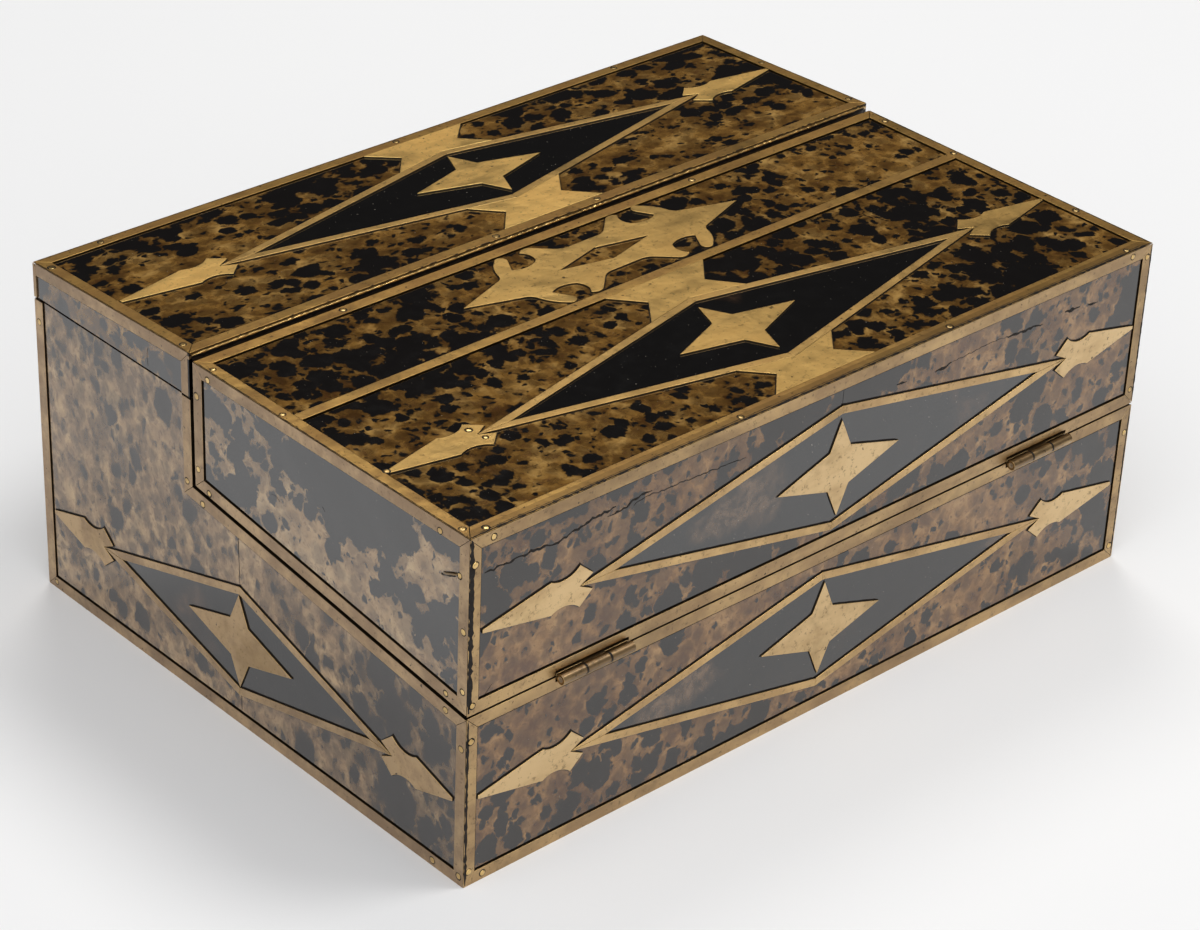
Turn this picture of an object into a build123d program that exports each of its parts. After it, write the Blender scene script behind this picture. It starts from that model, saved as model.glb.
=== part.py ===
from build123d import *
from math import atan2, cos, degrees, hypot, radians, sin, tan
import os

# Travel writing box: X runs along the long side, the hinge side faces -Y, the box stands on Z = 0.
# All sizes are millimetres.

# Outside of the case
width = 350.0
depth = 256.0
height = 145.0
rear_case_depth = 99.4
rear_joint_height = 128.7
rear_lid_front_rise = 18.9
rear_lid_back_rise = 15.1
step_gap = 2.2

# Sloping joint, hinged at half height so that the opened front lid lies level with the base
slope_angle = 7.1
hinge_height = height / 2
joint_gap = 0.3

# Timber
wall = 8.0
bottom_thick = 6.0
lid_top_thick = 6.0
step_thick = 6.0
rear_top_thick = 5.0

# Writing boards and leather
board_thick = 5.0
board_setback = 0.5
board_play = 0.3
ledge_size = 6.0
leather_thick = 0.8
leather_margin = 12.0
leather_play = 0.1

# Fittings of the tall rear section
till_depth = 43.4
till_height = 54.7
till_floor_thick = 4.0
partition_thick = 5.0
partition_drop = 10.7
ink_cell_width = 43.4
cross_wall_thick = 4.0
tray_play = 0.3
tray_height = 24.0
tray_end = 10.0
tray_channel_radius = 17.0

# Ink bottles
bottle_size = 34.0
bottle_corner = 3.0
bottle_shoulder = 2.5
bottle_height = 27.0
bottle_floor = 4.0
bottle_bore = 13.0
bottle_roof = 3.5
neck_radius = 10.0
neck_bore = 7.0
neck_height = 7.0
collar_radius = 12.0
collar_height = 6.0
cap_gap = 0.2
cap_thick = 4.0
cap_hinge_offset = 14.0
cap_hinge_rise = 1.0
cap_knuckle_radius = 1.8
cap_knuckle_half = 2.0
cap_cheek_thick = 2.0
cap_cheek_gap = 0.3
cap_cheek_rise = 1.2
cap_lug_drop = 1.0
cap_lug_root = 1.0
cap_tongue_thick = 2.0
cap_pin_radius = 0.7
cap_pin_play = 0.05

# Skins, strips and inlay, measured inward from each outer face
strip_thick = 1.6
inlay_thick = 0.6
strip_width = 5.0
front_top_strip_width = 6.4
divider_width = 4.5
divider_left_back = 54.8
divider_right_back = 51.6
shell_gap = 0.8
edge_gap = 0.15
mitre_gap = 0.2
seam_gap = 0.15
front_setback = 0.5
side_setback = 1.0
rear_setback = 0.4

# Lozenges, stars, spears and brackets
fillet_width = 3.2
lozenge_play = 0.1
star_half_length = 31.5
star_waist_x = 5.4
star_waist_y = 8.2
spear_tip_width = 1.4
spear_shoulder = 6.8
spear_neck = 5.4
spear_neck_at = 6.2
spear_tail_at = 13.2
spear_tail = 8.6
spear_barb_at = 19.2
spear_barb = 3.3
spear_notch_at = 13.0
bracket_base_half = 25.5
bracket_waist_half = 14.7
bracket_wing_half = 24.5

# Scroll ornament
scroll_x = -0.3
scroll_back = 27.8
scroll_lean = 1.0
scroll_hole_half_length = 23.5
scroll_hole_half_height = 5.6
scroll_waist = (8.0, 12.4)
scroll_inner_root = (13.2, 14.6)
scroll_inner_horn = (19.4, 20.3)
scroll_inner_hook = (25.8, 20.2)
scroll_inner_bay = (25.2, 11.6)
scroll_outer_bay = (37.6, 11.4)
scroll_outer_hook = (33.8, 18.0)
scroll_outer_horn = (38.0, 21.0)
scroll_outer_root = (44.6, 11.4)
scroll_shoulder = (47.6, 7.9)
scroll_half_length = 71.8
scroll_root_sag = 0.5
scroll_horn_sag = 1.45
scroll_inner_sag = 1.7
scroll_bay_sag = 1.8
scroll_hook_sag = 2.6
scroll_outer_sag = 0.9
scroll_shoulder_sag = 0.6

# Butt hinges
hinge_inset = 58.0
hinge_length = 34.0
knuckle_radius = 2.0
knuckle_gap = 0.3
knuckle_end_gap = 0.3
leaf_thick = 1.0
leaf_reach = 10.5
leaf_relief = 2.3
leaf_play = 0.1
hinge_notch = 2.4
knuckle_notch_play = 0.48
pin_radius = 1.1
pin_play = 0.05

# Lozenge panels: gaps and rises of the spear tips, lozenge points from the lower and upper edges,
# and the star measured from the middle of the face
front_values = {
    "tip_gap": (6.2, 7.4),
    "tip_rise": (0.6, 1.8),
    "point_length": (30.0, 30.0),
    "lower": (0.3, 10.8),
    "upper": (-0.5, 9.9),
    "star": (0.9, 0.7),
    "star_gap": 5.4,
    "star_lean": -0.5,
}
end_values = {
    "tip_gap": (6.8, 6.8),
    "tip_rise": (-1.3, 0.2),
    "point_length": (20.0, 20.0),
    "lower": (2.0, 13.0),
    "upper": (1.0, 10.7),
    "star": (1.5, 1.0),
    "star_gap": 3.9,
    "star_lean": 0.0,
}
lid_front_values = {
    "tip_gap": (6.5, 6.2),
    "tip_rise": (-3.3, 0.4),
    "point_length": (31.0, 26.5),
    "lower": (2.0, 6.9),
    "upper": (3.0, 12.2),
    "star": (3.6, -3.0),
    "star_gap": 5.9,
    "star_lean": 1.0,
}
lid_top_values = {
    "tip_gap": (5.8, 5.8),
    "tip_rise": (0.6, 2.6),
    "point_length": (28.0, 27.0),
    "lower": (-0.8, 22.6),
    "upper": (0.2, 21.9),
    "star": (-1.3, 0.9),
    "star_gap": 7.9,
    "star_lean": 3.5,
    "bracket_shift": (0.3, 0.0),
}
rear_values = {
    "tip_gap": (5.8, 5.8),
    "tip_rise": (0.5, 3.5),
    "point_length": (32.5, 28.0),
    "lower": (2.2, 24.2),
    "upper": (8.0, 21.9),
    "star": (6.0, 1.9),
    "star_gap": 6.2,
    "star_lean": -1.5,
    "bracket_shift": (2.6, -1.5),
}

# Positions shared by mating pieces
half_width = width / 2
half_depth = depth / 2
wood_x = half_width - strip_thick
wood_y = half_depth - strip_thick
inner_x = wood_x - wall
inner_y = wood_y - wall
step_y = half_depth - rear_case_depth
lid_back_y = step_y - step_gap
hinge_x = half_width - hinge_inset
hinge_y = half_depth + knuckle_gap + knuckle_radius
lid_wood_top = height - strip_thick
lid_underside = lid_wood_top - lid_top_thick
rear_lid_front_top = rear_joint_height + rear_lid_front_rise
rear_lid_back_top = rear_joint_height + rear_lid_back_rise
tilt = atan2(rear_lid_front_top - rear_lid_back_top, rear_case_depth)


def joint_z(y):
    return hinge_height + (y + hinge_y) * tan(radians(slope_angle))


def rear_top_z(y):
    return rear_lid_front_top - (y - step_y) * tan(tilt)


# Face frames: local x and y lie in the face, local z points out of the box
front_face = Plane(origin=(0, -half_depth, 0), x_dir=(1, 0, 0), z_dir=(0, -1, 0))
back_face = Plane(origin=(0, half_depth, 0), x_dir=(-1, 0, 0), z_dir=(0, 1, 0))
right_face = Plane(origin=(half_width, 0, 0), x_dir=(0, 1, 0), z_dir=(1, 0, 0))
top_face = Plane(origin=(0, 0, height), x_dir=(1, 0, 0), z_dir=(0, 0, 1))
rear_top_face = Plane(
    origin=(0, step_y, rear_lid_front_top),
    x_dir=(1, 0, 0),
    z_dir=(0, sin(tilt), cos(tilt)),
)


def inset(points, distances):
    """Move each edge of a counter-clockwise outline inward by its own distance."""
    count = len(points)
    lines = []
    for i in range(count):
        ax, ay = points[i]
        bx, by = points[(i + 1) % count]
        length = hypot(bx - ax, by - ay)
        ux = (bx - ax) / length
        uy = (by - ay) / length
        lines.append((ax - uy * distances[i], ay + ux * distances[i], ux, uy))
    corners = []
    for i in range(count):
        px, py, pux, puy = lines[i - 1]
        cx, cy, cux, cuy = lines[i]
        along = ((cx - px) * cuy - (cy - py) * cux) / (pux * cuy - puy * cux)
        corners.append((px + pux * along, py + puy * along))
    return corners


def sheet(plane, points, deep, shallow=0.0):
    """Flat piece between two depths below a face."""
    face = plane.offset(-deep) * make_face(Polyline(*points, close=True))
    return extrude(face, deep - shallow, dir=plane.z_dir)


def profile(points, x0, x1):
    """Piece with a constant outline in Y and Z between two X positions."""
    plane = Plane(origin=(x1, 0, 0), x_dir=(0, 1, 0), z_dir=(1, 0, 0))
    return sheet(plane, points, x1 - x0)


def block(x0, x1, y0, y1, z0, z1):
    return Pos((x0 + x1) / 2, (y0 + y1) / 2, (z0 + z1) / 2) * Box(x1 - x0, y1 - y0, z1 - z0)


def frustum(plane, rim, floor):
    """Solid between the rim outline on the face and the floor outline under the strips."""
    top = [plane.from_local_coords((x, y, 0)) for x, y in rim]
    bottom = [plane.from_local_coords((x, y, -strip_thick)) for x, y in floor]
    faces = [Face(Wire.make_polygon(top)), Face(Wire.make_polygon(bottom))]
    for i in range(len(rim)):
        j = (i + 1) % len(rim)
        faces.append(Face(Wire.make_polygon([top[i], top[j], bottom[j], bottom[i]])))
    return Solid(Shell(faces))


def edge_strips(plane, outline, widths, bevels, notches=()):
    """Mitred brass strips along the edges of a face, bevelled where two faces meet."""
    rim = inset(outline, [edge_gap * bevel for bevel in bevels])
    floor = inset(rim, [strip_thick * bevel for bevel in bevels])
    inner = inset(rim, widths)
    body = frustum(plane, rim, floor)
    pieces = []
    for i in range(len(outline)):
        j = (i + 1) % len(outline)
        if widths[i] > 0:
            quad = [rim[i], rim[j], inner[j], inner[i]]
            quad = inset(quad, [-1.0, mitre_gap / 2, 0.0, mitre_gap / 2])
            piece = sheet(plane, quad, strip_thick + 1.0, -1.0) & body
            for notch in notches:
                piece = piece - notch
            pieces += piece.solids()
    return pieces


def skin(plane, outline, widths, kites=(), notches=()):
    """Shell sheet inside the strips, opened for each lozenge."""
    margins = [width + shell_gap if width > 0 else 0.0 for width in widths]
    body = sheet(plane, inset(outline, margins), strip_thick, inlay_thick)
    for kite in kites:
        body = body - sheet(plane, inset(kite, [fillet_width / 2] * 4), strip_thick + 1.0, inlay_thick - 1.0)
    for notch in notches:
        body = body - notch
    return body.solids()


def placed(points, centre, lean):
    """Turn an outline by its lean and move it to its centre."""
    c = cos(radians(lean))
    s = sin(radians(lean))
    return [(centre[0] + x * c - y * s, centre[1] + x * s + y * c) for x, y in points]


def laid_out(values, left, right, low, high):
    """Place a lozenge panel on a face from its edges."""
    middle = (low + high) / 2
    bottom = (values["lower"][0], low + values["lower"][1])
    top = (values["upper"][0], high - values["upper"][1])
    return {
        "left_tip": (left + values["tip_gap"][0], middle + values["tip_rise"][0]),
        "right_tip": (right - values["tip_gap"][1], middle + values["tip_rise"][1]),
        "point_length": values["point_length"],
        "bottom": bottom,
        "top": top,
        "star": (values["star"][0], middle + values["star"][1]),
        "star_half_height": (top[1] - bottom[1]) / 2 - values["star_gap"],
        "star_lean": values["star_lean"],
        "bracket_shift": values.get("bracket_shift", (0.0, 0.0)),
    }


def notch_point(tip, towards, point_length):
    reach = point_length + spear_notch_at + seam_gap
    length = hypot(towards[0] - tip[0], towards[1] - tip[1])
    return (
        tip[0] + (towards[0] - tip[0]) * reach / length,
        tip[1] + (towards[1] - tip[1]) * reach / length,
    )


def kite_outline(panel):
    """Outer outline of a lozenge: left notch, bottom, right notch, top."""
    left = notch_point(panel["left_tip"], panel["right_tip"], panel["point_length"][0])
    right = notch_point(panel["right_tip"], panel["left_tip"], panel["point_length"][1])
    return [left, panel["bottom"], right, panel["top"]]


def lozenge(plane, panel):
    kite = kite_outline(panel)
    return sheet(plane, inset(kite, [fillet_width / 2 + lozenge_play] * 4), strip_thick, inlay_thick)


def fillets(plane, panel):
    """Four brass fillets mitred round a lozenge."""
    kite = kite_outline(panel)
    inner = inset(kite, [fillet_width] * 4)
    pieces = []
    for i in range(4):
        j = (i + 1) % 4
        quad = inset([kite[i], kite[j], inner[j], inner[i]], [0.0, mitre_gap / 2, 0.0, mitre_gap / 2])
        pieces.append(sheet(plane, quad, inlay_thick))
    return pieces


def star(plane, panel):
    star_half_height = panel["star_half_height"]
    points = [
        (star_half_length, 0),
        (star_waist_x, star_waist_y),
        (0, star_half_height),
        (-star_waist_x, star_waist_y),
        (-star_half_length, 0),
        (-star_waist_x, -star_waist_y),
        (0, -star_half_height),
        (star_waist_x, -star_waist_y),
    ]
    return sheet(plane, placed(points, panel["star"], panel["star_lean"]), inlay_thick)


def spear(plane, tip, towards, point_length):
    """Spear head with a blunt tip, a waisted neck and a swallow tail."""
    lean = degrees(atan2(towards[1] - tip[1], towards[0] - tip[0]))
    blunt = spear_tip_width / 2
    neck = point_length + spear_neck_at
    tail = point_length + spear_tail_at
    barb = point_length + spear_barb_at
    upper = [
        Line((0, blunt), (point_length, spear_shoulder)),
        ThreePointArc((point_length, spear_shoulder), (neck, spear_neck), (tail, spear_tail)),
        Line((tail, spear_tail), (barb, spear_barb)),
        Line((barb, spear_barb), (point_length + spear_notch_at, 0)),
    ]
    lower = [mirror(edge, Plane.XZ) for edge in upper]
    outline = make_face(upper + lower + [Line((0, -blunt), (0, blunt))])
    face = plane.offset(-inlay_thick) * (Pos(tip[0], tip[1]) * Rot(0, 0, lean) * outline)
    return extrude(face, inlay_thick, dir=plane.z_dir)


def spears(plane, panel):
    left = panel["left_tip"]
    right = panel["right_tip"]
    lengths = panel["point_length"]
    return [spear(plane, left, right, lengths[0]), spear(plane, right, left, lengths[1])]


def bracket(plane, panel, side, line_start, line_end):
    """Bow-tie between one point of a lozenge and the strip beyond it."""
    kite = kite_outline(panel)
    rim = inset(kite, [-seam_gap] * 4)
    apex = rim[3] if side > 0 else rim[1]
    middle = apex[0] + panel["bracket_shift"][1 if side > 0 else 0]
    left = rim[0]
    right = rim[2]

    def on_line(x):
        share = (x - line_start[0]) / (line_end[0] - line_start[0])
        return line_start[1] + share * (line_end[1] - line_start[1]) - side * seam_gap

    def on_kite(x):
        end = left if x < apex[0] else right
        return apex[1] + (x - apex[0]) / (end[0] - apex[0]) * (end[1] - apex[1])

    points = []
    for hand in (-1, 1):
        base_x = middle + hand * bracket_base_half
        waist_x = middle + hand * bracket_waist_half
        wing_x = middle + hand * bracket_wing_half
        waist_y = (on_line(waist_x) + on_kite(wing_x)) / 2
        run = [(base_x, on_line(base_x)), (waist_x, waist_y), (wing_x, on_kite(wing_x))]
        points += run if hand < 0 else [apex] + run[::-1]
    return sheet(plane, points, inlay_thick)


def scroll(plane):
    """Pierced scroll with four pairs of horns and two long points."""
    quarter = [
        Line((0, scroll_waist[1]), scroll_waist),
        SagittaArc(scroll_waist, scroll_inner_root, -scroll_root_sag),
        Line(scroll_inner_root, scroll_inner_horn),
        SagittaArc(scroll_inner_horn, scroll_inner_hook, scroll_horn_sag),
        SagittaArc(scroll_inner_hook, scroll_inner_bay, -scroll_inner_sag),
        SagittaArc(scroll_inner_bay, scroll_outer_bay, -scroll_bay_sag),
        Line(scroll_outer_bay, scroll_outer_hook),
        SagittaArc(scroll_outer_hook, scroll_outer_horn, scroll_hook_sag),
        SagittaArc(scroll_outer_horn, scroll_outer_root, scroll_outer_sag),
        SagittaArc(scroll_outer_root, scroll_shoulder, -scroll_shoulder_sag),
        Line(scroll_shoulder, (scroll_half_length, 0)),
    ]
    edges = []
    for across in (False, True):
        for along in (False, True):
            for edge in quarter:
                piece = mirror(edge, Plane.XZ) if across else edge
                edges.append(mirror(piece, Plane.YZ) if along else piece)
    hole = Polyline(
        (scroll_hole_half_length, 0),
        (0, scroll_hole_half_height),
        (-scroll_hole_half_length, 0),
        (0, -scroll_hole_half_height),
        close=True,
    )
    outline = make_face(edges) - make_face(hole)
    spot = Pos(scroll_x, lid_back_y - scroll_back) * Rot(0, 0, scroll_lean)
    face = plane.offset(-inlay_thick) * (spot * outline)
    return extrude(face, inlay_thick, dir=plane.z_dir)


# Hinges: local x along the pin, local y into the box along the joint, local z up
knuckle_length = (hinge_length - 2 * knuckle_end_gap) / 3


def barrel(radius, length, x=0.0):
    return Pos(x, 0, 0) * Rot(0, 90, 0) * Cylinder(radius, length)


def hinge_frames(rear):
    frames = []
    for side in (-1, 1):
        if rear:
            plane = Plane(
                origin=(side * hinge_x, hinge_y, rear_joint_height),
                x_dir=(-1, 0, 0),
                z_dir=(0, 0, 1),
            )
        else:
            angle = radians(slope_angle)
            plane = Plane(
                origin=(side * hinge_x, -hinge_y, hinge_height),
                x_dir=(1, 0, 0),
                z_dir=(0, -sin(angle), cos(angle)),
            )
        frames.append(plane)
    return frames


def base_leaf():
    half = hinge_length / 2
    low = -joint_gap / 2 - leaf_thick
    leaf = block(-half, half, 0, leaf_reach, low, -joint_gap / 2)
    middle = knuckle_length / 2 + knuckle_end_gap
    leaf = leaf - block(-middle, middle, -1, leaf_relief, low - 1, 1)
    for side in (-1, 1):
        leaf = leaf + barrel(knuckle_radius, knuckle_length, side * (knuckle_length + knuckle_end_gap))
    return leaf - barrel(pin_radius, hinge_length + 2)


def lid_leaf():
    half = hinge_length / 2
    high = joint_gap / 2 + leaf_thick
    leaf = block(-half, half, 0, leaf_reach, joint_gap / 2, high)
    for side in (-1, 1):
        near = side * knuckle_length / 2
        far = side * (half + 1)
        leaf = leaf - block(min(near, far), max(near, far), -1, leaf_relief, -1, high + 1)
    leaf = leaf + barrel(knuckle_radius, knuckle_length)
    return leaf - barrel(pin_radius + pin_play, hinge_length + 2)


def leaf_pocket(side):
    half = hinge_length / 2 + leaf_play
    far = side * (joint_gap / 2 + leaf_thick)
    near = -side * 1.0
    return block(-half, half, 0, leaf_reach + leaf_play, min(near, far), max(near, far))


def knuckle_notch():
    half = hinge_length / 2 + 3 * leaf_play
    deep = (knuckle_radius + knuckle_gap + strip_thick) / cos(radians(slope_angle)) + knuckle_notch_play
    return block(-half, half, 0, deep, -hinge_notch, hinge_notch)


front_frames = hinge_frames(False)
rear_frames = hinge_frames(True)
front_notches = [frame * knuckle_notch() for frame in front_frames]
rear_notches = [frame * knuckle_notch() for frame in rear_frames]

nodes = {}


def add(name, *pieces):
    nodes.setdefault(name, []).extend(pieces)


def add_pair(name, pieces):
    """Add pieces of the right end and their mirror images on the left end."""
    for piece in pieces:
        add(name, piece, mirror(piece, Plane.YZ))


# Timber of the base
base_top_front = joint_z(-wood_y) - joint_gap / 2
base_top_step = joint_z(step_y) - joint_gap / 2
rear_wood_top = rear_joint_height - joint_gap / 2
front_board = profile(
    [
        (-wood_y, bottom_thick),
        (-inner_y, bottom_thick),
        (-inner_y, joint_z(-inner_y) - joint_gap / 2),
        (-wood_y, base_top_front),
    ],
    -inner_x,
    inner_x,
)
back_board = block(-inner_x, inner_x, inner_y, wood_y, bottom_thick, rear_wood_top)
for frame in front_frames:
    front_board = front_board - frame * leaf_pocket(-1)
for frame in rear_frames:
    back_board = back_board - frame * leaf_pocket(-1)
end_board = profile(
    [
        (-wood_y, bottom_thick),
        (wood_y, bottom_thick),
        (wood_y, rear_wood_top),
        (step_y, rear_wood_top),
        (step_y, base_top_step),
        (-wood_y, base_top_front),
    ],
    inner_x,
    wood_x,
)
add("bottom_board", block(-wood_x, wood_x, -wood_y, wood_y, 0, bottom_thick))
add("right_end_board", end_board)
add("left_end_board", mirror(end_board, Plane.YZ))
add("front_board", front_board)
add("back_board", back_board)
add("step_board", block(-inner_x, inner_x, step_y, step_y + step_thick, bottom_thick, rear_wood_top))


# Writing boards lie parallel to the sloping joint, one in the base and one in the lid
def sloping(y0, y1, low, high, x0, x1):
    return profile(
        [
            (y0, joint_z(y0) + low),
            (y1, joint_z(y1) + low),
            (y1, joint_z(y1) + high),
            (y0, joint_z(y0) + high),
        ],
        x0,
        x1,
    )


def writing_board(y0, y1, side):
    """Board with a let-in leather; side -1 faces up in the base, +1 faces down in the lid."""
    front = y0 + board_play
    back = y1 - board_play
    half = inner_x - board_play
    near = side * board_setback
    far = side * (board_setback + board_thick)
    board = sloping(front, back, min(near, far), max(near, far), -half, half)
    edge_front = front + leather_margin
    edge_back = back - leather_margin
    edge_half = half - leather_margin
    deep = side * (board_setback + leather_thick)
    open_side = near - side * 1.0
    pocket = sloping(edge_front, edge_back, min(open_side, deep), max(open_side, deep), -edge_half, edge_half)
    leather = sloping(
        edge_front + leather_play,
        edge_back - leather_play,
        min(near, deep),
        max(near, deep),
        -edge_half + leather_play,
        edge_half - leather_play,
    )
    return board - pocket, leather


def ledge(y0, y1, side):
    near = side * (board_setback + board_thick)
    far = near + side * ledge_size
    return sloping(y0, y1, min(near, far), max(near, far), inner_x - ledge_size, inner_x)


lid_well_back = lid_back_y - step_thick
base_board, base_leather = writing_board(-inner_y, step_y, -1)
lid_board, lid_leather = writing_board(-inner_y, lid_well_back, 1)
add("writing_board", base_board)
add("writing_leather", base_leather)
add_pair("well_ledges", [ledge(-inner_y, step_y, -1)])
add("lid_writing_board", lid_board)
add("lid_leather", lid_leather)
add_pair("lid_ledges", [ledge(-inner_y, lid_well_back, 1)])

# Fittings of the tall rear section
till_front = inner_y - till_depth
till_floor_top = rear_joint_height - till_height
partition_top = rear_joint_height - partition_drop
cross_wall_x = inner_x - ink_cell_width - cross_wall_thick
add(
    "letter_partition",
    block(-inner_x, inner_x, till_front - partition_thick, till_front, bottom_thick, partition_top),
)
add(
    "till_boards",
    block(-inner_x, inner_x, till_front, inner_y, till_floor_top - till_floor_thick, till_floor_top),
)
cell_x = cross_wall_x + cross_wall_thick
add_pair("till_boards", [block(cross_wall_x, cell_x, till_front, inner_y, till_floor_top, partition_top)])
tray_half = cross_wall_x - tray_play
tray_middle = (till_front + inner_y) / 2
tray_top = till_floor_top + tray_height
pen_tray = block(-tray_half, tray_half, till_front + tray_play, inner_y - tray_play, till_floor_top, tray_top)
channel = Rot(0, 90, 0) * Cylinder(tray_channel_radius, 2 * (tray_half - tray_end))
add("pen_tray", pen_tray - Pos(0, tray_middle, tray_top) * channel)

# Ink bottles with collars and hinged caps
bottle_x = inner_x - ink_cell_width / 2
shoulder_z = till_floor_top + bottle_height
neck_top = shoulder_z + neck_height
cap_axis_z = neck_top + cap_hinge_rise
cheek_half = cap_knuckle_half + cap_cheek_gap


def upright(radius, z0, z1):
    return Pos(0, 0, (z0 + z1) / 2) * Cylinder(radius, z1 - z0)


def ink_bottle():
    half = bottle_size / 2
    glass = block(-half, half, -half, half, till_floor_top, shoulder_z)
    glass = chamfer(glass.edges().filter_by(Axis.Z), bottle_corner)
    glass = chamfer(glass.edges().group_by(Axis.Z)[-1], bottle_shoulder)
    glass = glass + upright(neck_radius, shoulder_z, neck_top)
    glass = glass - upright(bottle_bore, till_floor_top + bottle_floor, shoulder_z - bottle_roof)
    return glass - upright(neck_bore, shoulder_z - bottle_roof - 1, neck_top + 1)


def ink_collar():
    collar = upright(collar_radius, neck_top - collar_height, neck_top)
    collar = collar - upright(neck_radius, neck_top - collar_height - 1, neck_top + 1)
    lug_high = neck_top - cap_lug_drop
    near = cap_hinge_offset - cap_knuckle_radius
    far = cap_hinge_offset + cap_knuckle_radius
    cheek_far = cheek_half + cap_cheek_thick
    lug_near = neck_radius + cap_lug_root
    collar = collar + block(-cheek_far, cheek_far, lug_near, far, neck_top - collar_height, lug_high)
    for side in (-1, 1):
        x0 = min(side * cheek_half, side * cheek_far)
        cheek = block(x0, x0 + cap_cheek_thick, near, far, lug_high, cap_axis_z + cap_cheek_rise)
        collar = collar + cheek
    collar = collar - Pos(0, cap_hinge_offset, cap_axis_z) * barrel(cap_pin_radius, 2 * cheek_far + 2)
    pin = Pos(0, cap_hinge_offset, cap_axis_z) * barrel(cap_pin_radius, 2 * cheek_far)
    return [collar, pin]


def ink_cap():
    low = neck_top + cap_gap
    cap = upright(collar_radius, low, low + cap_thick)
    half = cap_knuckle_half
    cap = cap + block(-half, half, neck_radius, cap_hinge_offset, low, low + cap_tongue_thick)
    cap = cap + Pos(0, cap_hinge_offset, cap_axis_z) * barrel(cap_knuckle_radius, 2 * half)
    return cap - Pos(0, cap_hinge_offset, cap_axis_z) * barrel(cap_pin_radius + cap_pin_play, 4 * half)


for side, hand in ((-1, "left"), (1, "right")):
    spot = Pos(side * bottle_x, tray_middle, 0)
    add("ink_bottles", spot * ink_bottle())
    add("ink_collars", *[spot * piece for piece in ink_collar()])
    add(hand + "_ink_cap", spot * ink_cap())

# Timber of the front lid
lid_front_board = profile(
    [
        (-wood_y, joint_z(-wood_y) + joint_gap / 2),
        (-inner_y, joint_z(-inner_y) + joint_gap / 2),
        (-inner_y, lid_underside),
        (-wood_y, lid_underside),
    ],
    -inner_x,
    inner_x,
)
for frame in front_frames:
    lid_front_board = lid_front_board - frame * leaf_pocket(1)
lid_end_board = profile(
    [
        (-wood_y, joint_z(-wood_y) + joint_gap / 2),
        (lid_back_y, joint_z(lid_back_y) + joint_gap / 2),
        (lid_back_y, lid_underside),
        (-wood_y, lid_underside),
    ],
    inner_x,
    wood_x,
)
lid_rear_board = profile(
    [
        (lid_well_back, joint_z(lid_well_back) + joint_gap / 2),
        (lid_back_y, joint_z(lid_back_y) + joint_gap / 2),
        (lid_back_y, lid_underside),
        (lid_well_back, lid_underside),
    ],
    -inner_x,
    inner_x,
)
add("lid_top_board", block(-wood_x, wood_x, -wood_y, lid_back_y, lid_underside, lid_wood_top))
add("lid_front_board", lid_front_board)
add("lid_rear_board", lid_rear_board)
add("lid_right_end_board", lid_end_board)
add("lid_left_end_board", mirror(lid_end_board, Plane.YZ))

# Timber of the rear lid
skin_drop = strip_thick / cos(tilt)
rear_low = rear_joint_height + joint_gap / 2


def rear_board_z(y):
    return rear_top_z(y) - skin_drop


def rail(y0, y1, x0, x1):
    return profile(
        [
            (y0, rear_low),
            (y1, rear_low),
            (y1, rear_board_z(y1) - rear_top_thick),
            (y0, rear_board_z(y0) - rear_top_thick),
        ],
        x0,
        x1,
    )


rear_rail = rail(inner_y, wood_y, -inner_x, inner_x)
for frame in rear_frames:
    rear_rail = rear_rail - frame * leaf_pocket(1)
add("rear_lid_frame", rail(step_y, step_y + wall, -inner_x, inner_x), rear_rail)
add_pair("rear_lid_frame", [rail(step_y, wood_y, inner_x, wood_x)])
add(
    "rear_lid_board",
    profile(
        [
            (step_y, rear_board_z(step_y) - rear_top_thick),
            (wood_y, rear_board_z(wood_y) - rear_top_thick),
            (wood_y, rear_board_z(wood_y)),
            (step_y, rear_board_z(step_y)),
        ],
        -wood_x,
        wood_x,
    ),
)

# Hinge leaves and pins
for frame in front_frames:
    add("base_hinge_leaves", frame * base_leaf())
    add("lid_hinge_leaves", frame * lid_leaf())
    add("hinge_pins", frame * barrel(pin_radius, hinge_length))
for frame in rear_frames:
    add("base_hinge_leaves", frame * base_leaf())
    add("rear_lid_hinge_leaves", frame * lid_leaf())
    add("hinge_pins", frame * barrel(pin_radius, hinge_length))

# Skins and strips of the base: outline, strip widths and bevelled edges run counter-clockwise
w = strip_width
front_outline = [
    (-half_width, 0),
    (half_width, 0),
    (half_width, joint_z(-half_depth) - front_setback),
    (-half_width, joint_z(-half_depth) - front_setback),
]
back_outline = [
    (-half_width, 0),
    (half_width, 0),
    (half_width, rear_joint_height - rear_setback),
    (-half_width, rear_joint_height - rear_setback),
]
end_outline = [
    (-half_depth, 0),
    (half_depth, 0),
    (half_depth, rear_joint_height - rear_setback),
    (step_y, rear_joint_height - rear_setback),
    (step_y, joint_z(step_y) - side_setback),
    (-half_depth, joint_z(-half_depth) - side_setback),
]
front_top = front_outline[2][1]
front_panel = laid_out(front_values, -half_width, half_width, 0, front_top)
end_panel = laid_out(end_values, -half_depth, half_depth, 0, front_top)
front_kite = kite_outline(front_panel)
end_kite = kite_outline(end_panel)
add("base_front_shell", *skin(front_face, front_outline, [w, w, w, w], [front_kite], front_notches))
add("base_back_shell", *skin(back_face, back_outline, [w, w, w, w], [front_kite], rear_notches))
add_pair("base_end_shells", skin(right_face, end_outline, [w, w, 0, w, w, w], [end_kite]))
add("base_front_strips", *edge_strips(front_face, front_outline, [w, w, w, w], [0, 1, 0, 1], front_notches))
add("base_back_strips", *edge_strips(back_face, back_outline, [w, w, w, w], [0, 1, 0, 1], rear_notches))
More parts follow.
